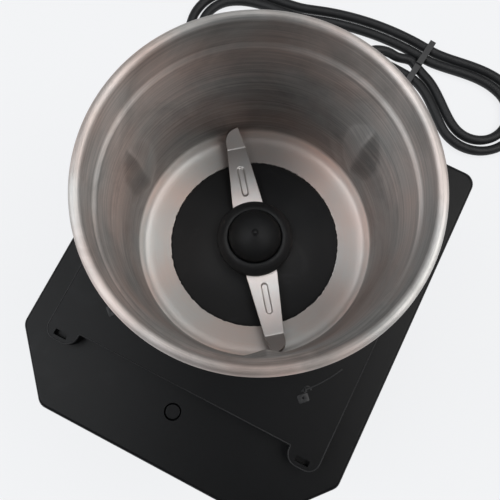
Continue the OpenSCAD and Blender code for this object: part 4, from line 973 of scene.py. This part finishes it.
def reliefOutline(p):
    bore, start, flange, end = p["bore"], p["inside"], p["flange"], p["length"]
    line = [(bore, start), (flange - 0.3, start), (flange, start + 0.3), (flange, -3.1),
            (flange - 0.3, -2.8), (p["neck"], -2.8), (p["neck"], 0), (flange - 0.3, 0),
            (flange, 0.3), (flange, 2.0), (flange - 0.5, 2.5), (p["wide"], 2.5)]
    pitch = (end - p["end"]) / p["ribs"]
    for k in range(p["ribs"]):
        z0 = p["ribsFrom"] + pitch * k
        wide = p["wide"] + (p["slim"] - p["wide"]) * k / (p["ribs"] - 1)
        line += [(wide, z0), (wide + 0.05, z0 + pitch * 0.5), (wide - 0.1, z0 + pitch * 0.62),
                 (wide - 0.75, z0 + pitch * 0.68), (wide - 0.78, z0 + pitch * 0.9)]
    return line + [(p["slim"], end - 1.4), (p["slim"] - 0.1, end - 0.2), (p["slim"] - 0.3, end),
                   (bore, end), (bore, start)]


strainRelief = turnedPiece("strainRelief", reliefOutline(reliefPlan), "cord_pvc", 48,
                           place=Vector(reliefPlan["exit"]) * mm,
                           turn=Matrix.Rotation(math.radians(-90), 4, "X"))
standsFor(strainRelief, "strain_relief")

plugPlan = {"at": (-9.0, 158.0, 8.0), "turn": 90, "ribs": 4, "ribFrom": 1.2, "ribStep": 2.3,
            "ribWide": 4.1, "ribGrow": 0.5, "parts": 48, "squareFrom": 10, "squareOver": 4}


def makePlug(p):
    sections = [(0, 3.6, 3.6), (0.6, 3.9, 3.9)]  # distance along the plug, half height, half width
    for k in range(p["ribs"]):
        x, wide = p["ribFrom"] + p["ribStep"] * k, p["ribWide"] + p["ribGrow"] * k
        sections += [(x, wide, wide), (x + 1.3, wide + 0.1, wide + 0.1), (x + 1.5, wide - 0.6, wide - 0.6),
                     (x + 2.1, wide - 0.6, wide - 0.6)]
    sections += [(10.6, 5.6, 5.8), (11.4, 6.2, 8.2), (12.4, 6.7, 10.4), (13.6, 6.95, 11.6), (15, 7, 12),
                 (17, 7, 12), (17.4, 6.6, 11.6), (18.2, 6.6, 11.6), (18.6, 7, 12), (20, 7, 12),
                 (20.4, 6.6, 11.6), (21.2, 6.6, 11.6), (21.6, 7, 12), (25.6, 7, 12), (26.5, 6.8, 11.8),
                 (27, 6.2, 11.2)]
    parts = p["parts"]
    work = bmesh.new()
    rings = []
    for x, high, half in sections:
        square = min(max((x - p["squareFrom"]) / p["squareOver"], 0), 1)
        power = 2 + 2.6 * square  # from a round neck to a rounded box
        ring = []
        for k in range(parts):
            a = 2 * math.pi * k / parts
            c, s = math.cos(a), math.sin(a)
            size = (abs(c) ** power + abs(s) ** power) ** (-1 / power)
            ring.append(work.verts.new(Vector((-x, half * c * size, high * s * size)) * mm))
        rings.append(ring)
    for one, two in zip(rings, rings[1:]):
        for k in range(parts):
            work.faces.new((one[k], one[(k + 1) % parts], two[(k + 1) % parts], two[k]))
    work.faces.new(rings[0])
    work.faces.new(rings[-1])
    bmesh.ops.recalc_face_normals(work, faces=work.faces)
    mesh = bpy.data.meshes.new("plugBody")
    work.to_mesh(mesh)
    work.free()
    mesh.transform(Matrix.Translation(Vector(p["at"]) * mm)
                   @ Matrix.Rotation(math.radians(p["turn"]), 4, "Z"))
    return softened(linked("plugBody", mesh, "cord_pvc"), 35)


plugBody = makePlug(plugPlan)
standsFor(plugBody, "plug_body")

print("lead's ends made")


# floor, backdrop and light
stagePlan = {"floor": (0.83, 0.84, 0.85), "seen": (0.925, 0.934, 0.950), "share": 0.86,
             "world": (0.97, 0.98, 1.0), "worldLight": 0.16}


def makeStage(p):
    mesh = bpy.data.meshes.new("floor")
    mesh.from_pydata([(-4, -4, 0), (4, -4, 0), (4, 4, 0), (-4, 4, 0)], [], [(0, 1, 2, 3)])
    floor = bpy.data.objects.new("floor", mesh)
    bpy.context.scene.collection.objects.link(floor)
    paper = Finish("floorPaper")
    spot = paper.where()
    grain = paper.noise(spot, 900.0, 3.0)
    paper.shade({"Base Color": paper.tint(grain, p["floor"], tuple(c * 0.98 for c in p["floor"])),
                 "Roughness": 0.85, "Specular IOR Level": 0.1})
    glow = paper.node("ShaderNodeEmission", {}, {"Color": (*p["seen"], 1), "Strength": 1.0})
    path = paper.node("ShaderNodeLightPath")
    camera, glossy, through = (Sock(paper, path.outputs["Is " + ray + " Ray"])
                               for ray in ("Camera", "Glossy", "Transmission"))
    seen = camera.atLeast(glossy).atLeast(through)
    mixed = paper.node("ShaderNodeMixShader", {}, {0: seen * p["share"], 1: paper.shader.outputs[0],
                                                   2: glow.outputs[0]})
    paper.feed(paper.output.inputs["Surface"], mixed.outputs[0])
    mesh.materials.append(paper.material)
    world = bpy.data.worlds.new("softStudio")
    world.use_nodes = True
    bpy.context.scene.world = world
    tree = world.node_tree
    sky = tree.nodes["Background"]
    sky.inputs["Color"].default_value = (*p["world"], 1)
    sky.inputs["Strength"].default_value = p["worldLight"]
    seenSky = tree.nodes.new("ShaderNodeBackground")
    seenSky.inputs["Color"].default_value = (*p["seen"], 1)
    light, mix = tree.nodes.new("ShaderNodeLightPath"), tree.nodes.new("ShaderNodeMixShader")
    tree.links.new(light.outputs["Is Camera Ray"], mix.inputs[0])
    tree.links.new(sky.outputs[0], mix.inputs[1])
    tree.links.new(seenSky.outputs[0], mix.inputs[2])
    tree.links.new(mix.outputs[0], tree.nodes["World Output"].inputs["Surface"])


lampPlan = {
    "rightBox": {"at": (0.535, 0.283, 0.95), "aim": (0, 0.01, 0.15), "size": 0.8, "watts": 5.8,
                 "color": (1.0, 0.985, 0.97)},
    "leftBox": {"at": (-0.535, -0.263, 0.95), "aim": (0, 0.01, 0.15), "size": 0.8, "watts": 5.8,
                "color": (0.96, 0.98, 1.0)},
    "backBox": {"at": (-0.09, 0.51, 1.0), "aim": (0, 0.01, 0.15), "size": 0.5, "watts": 1.15,
                "color": (1.0, 0.99, 0.98)},
}


def makeLamps(plan):
    for name, p in plan.items():
        data = bpy.data.lights.new(name, "AREA")
        data.size, data.energy, data.color = p["size"], p["watts"], p["color"]
        lamp = bpy.data.objects.new(name, data)
        lamp.location = p["at"]
        lamp.rotation_euler = (Vector(p["aim"]) - Vector(p["at"])).to_track_quat("-Z", "Y").to_euler()
        bpy.context.scene.collection.objects.link(lamp)


makeStage(stagePlan)
makeLamps(lampPlan)
print("stage made")
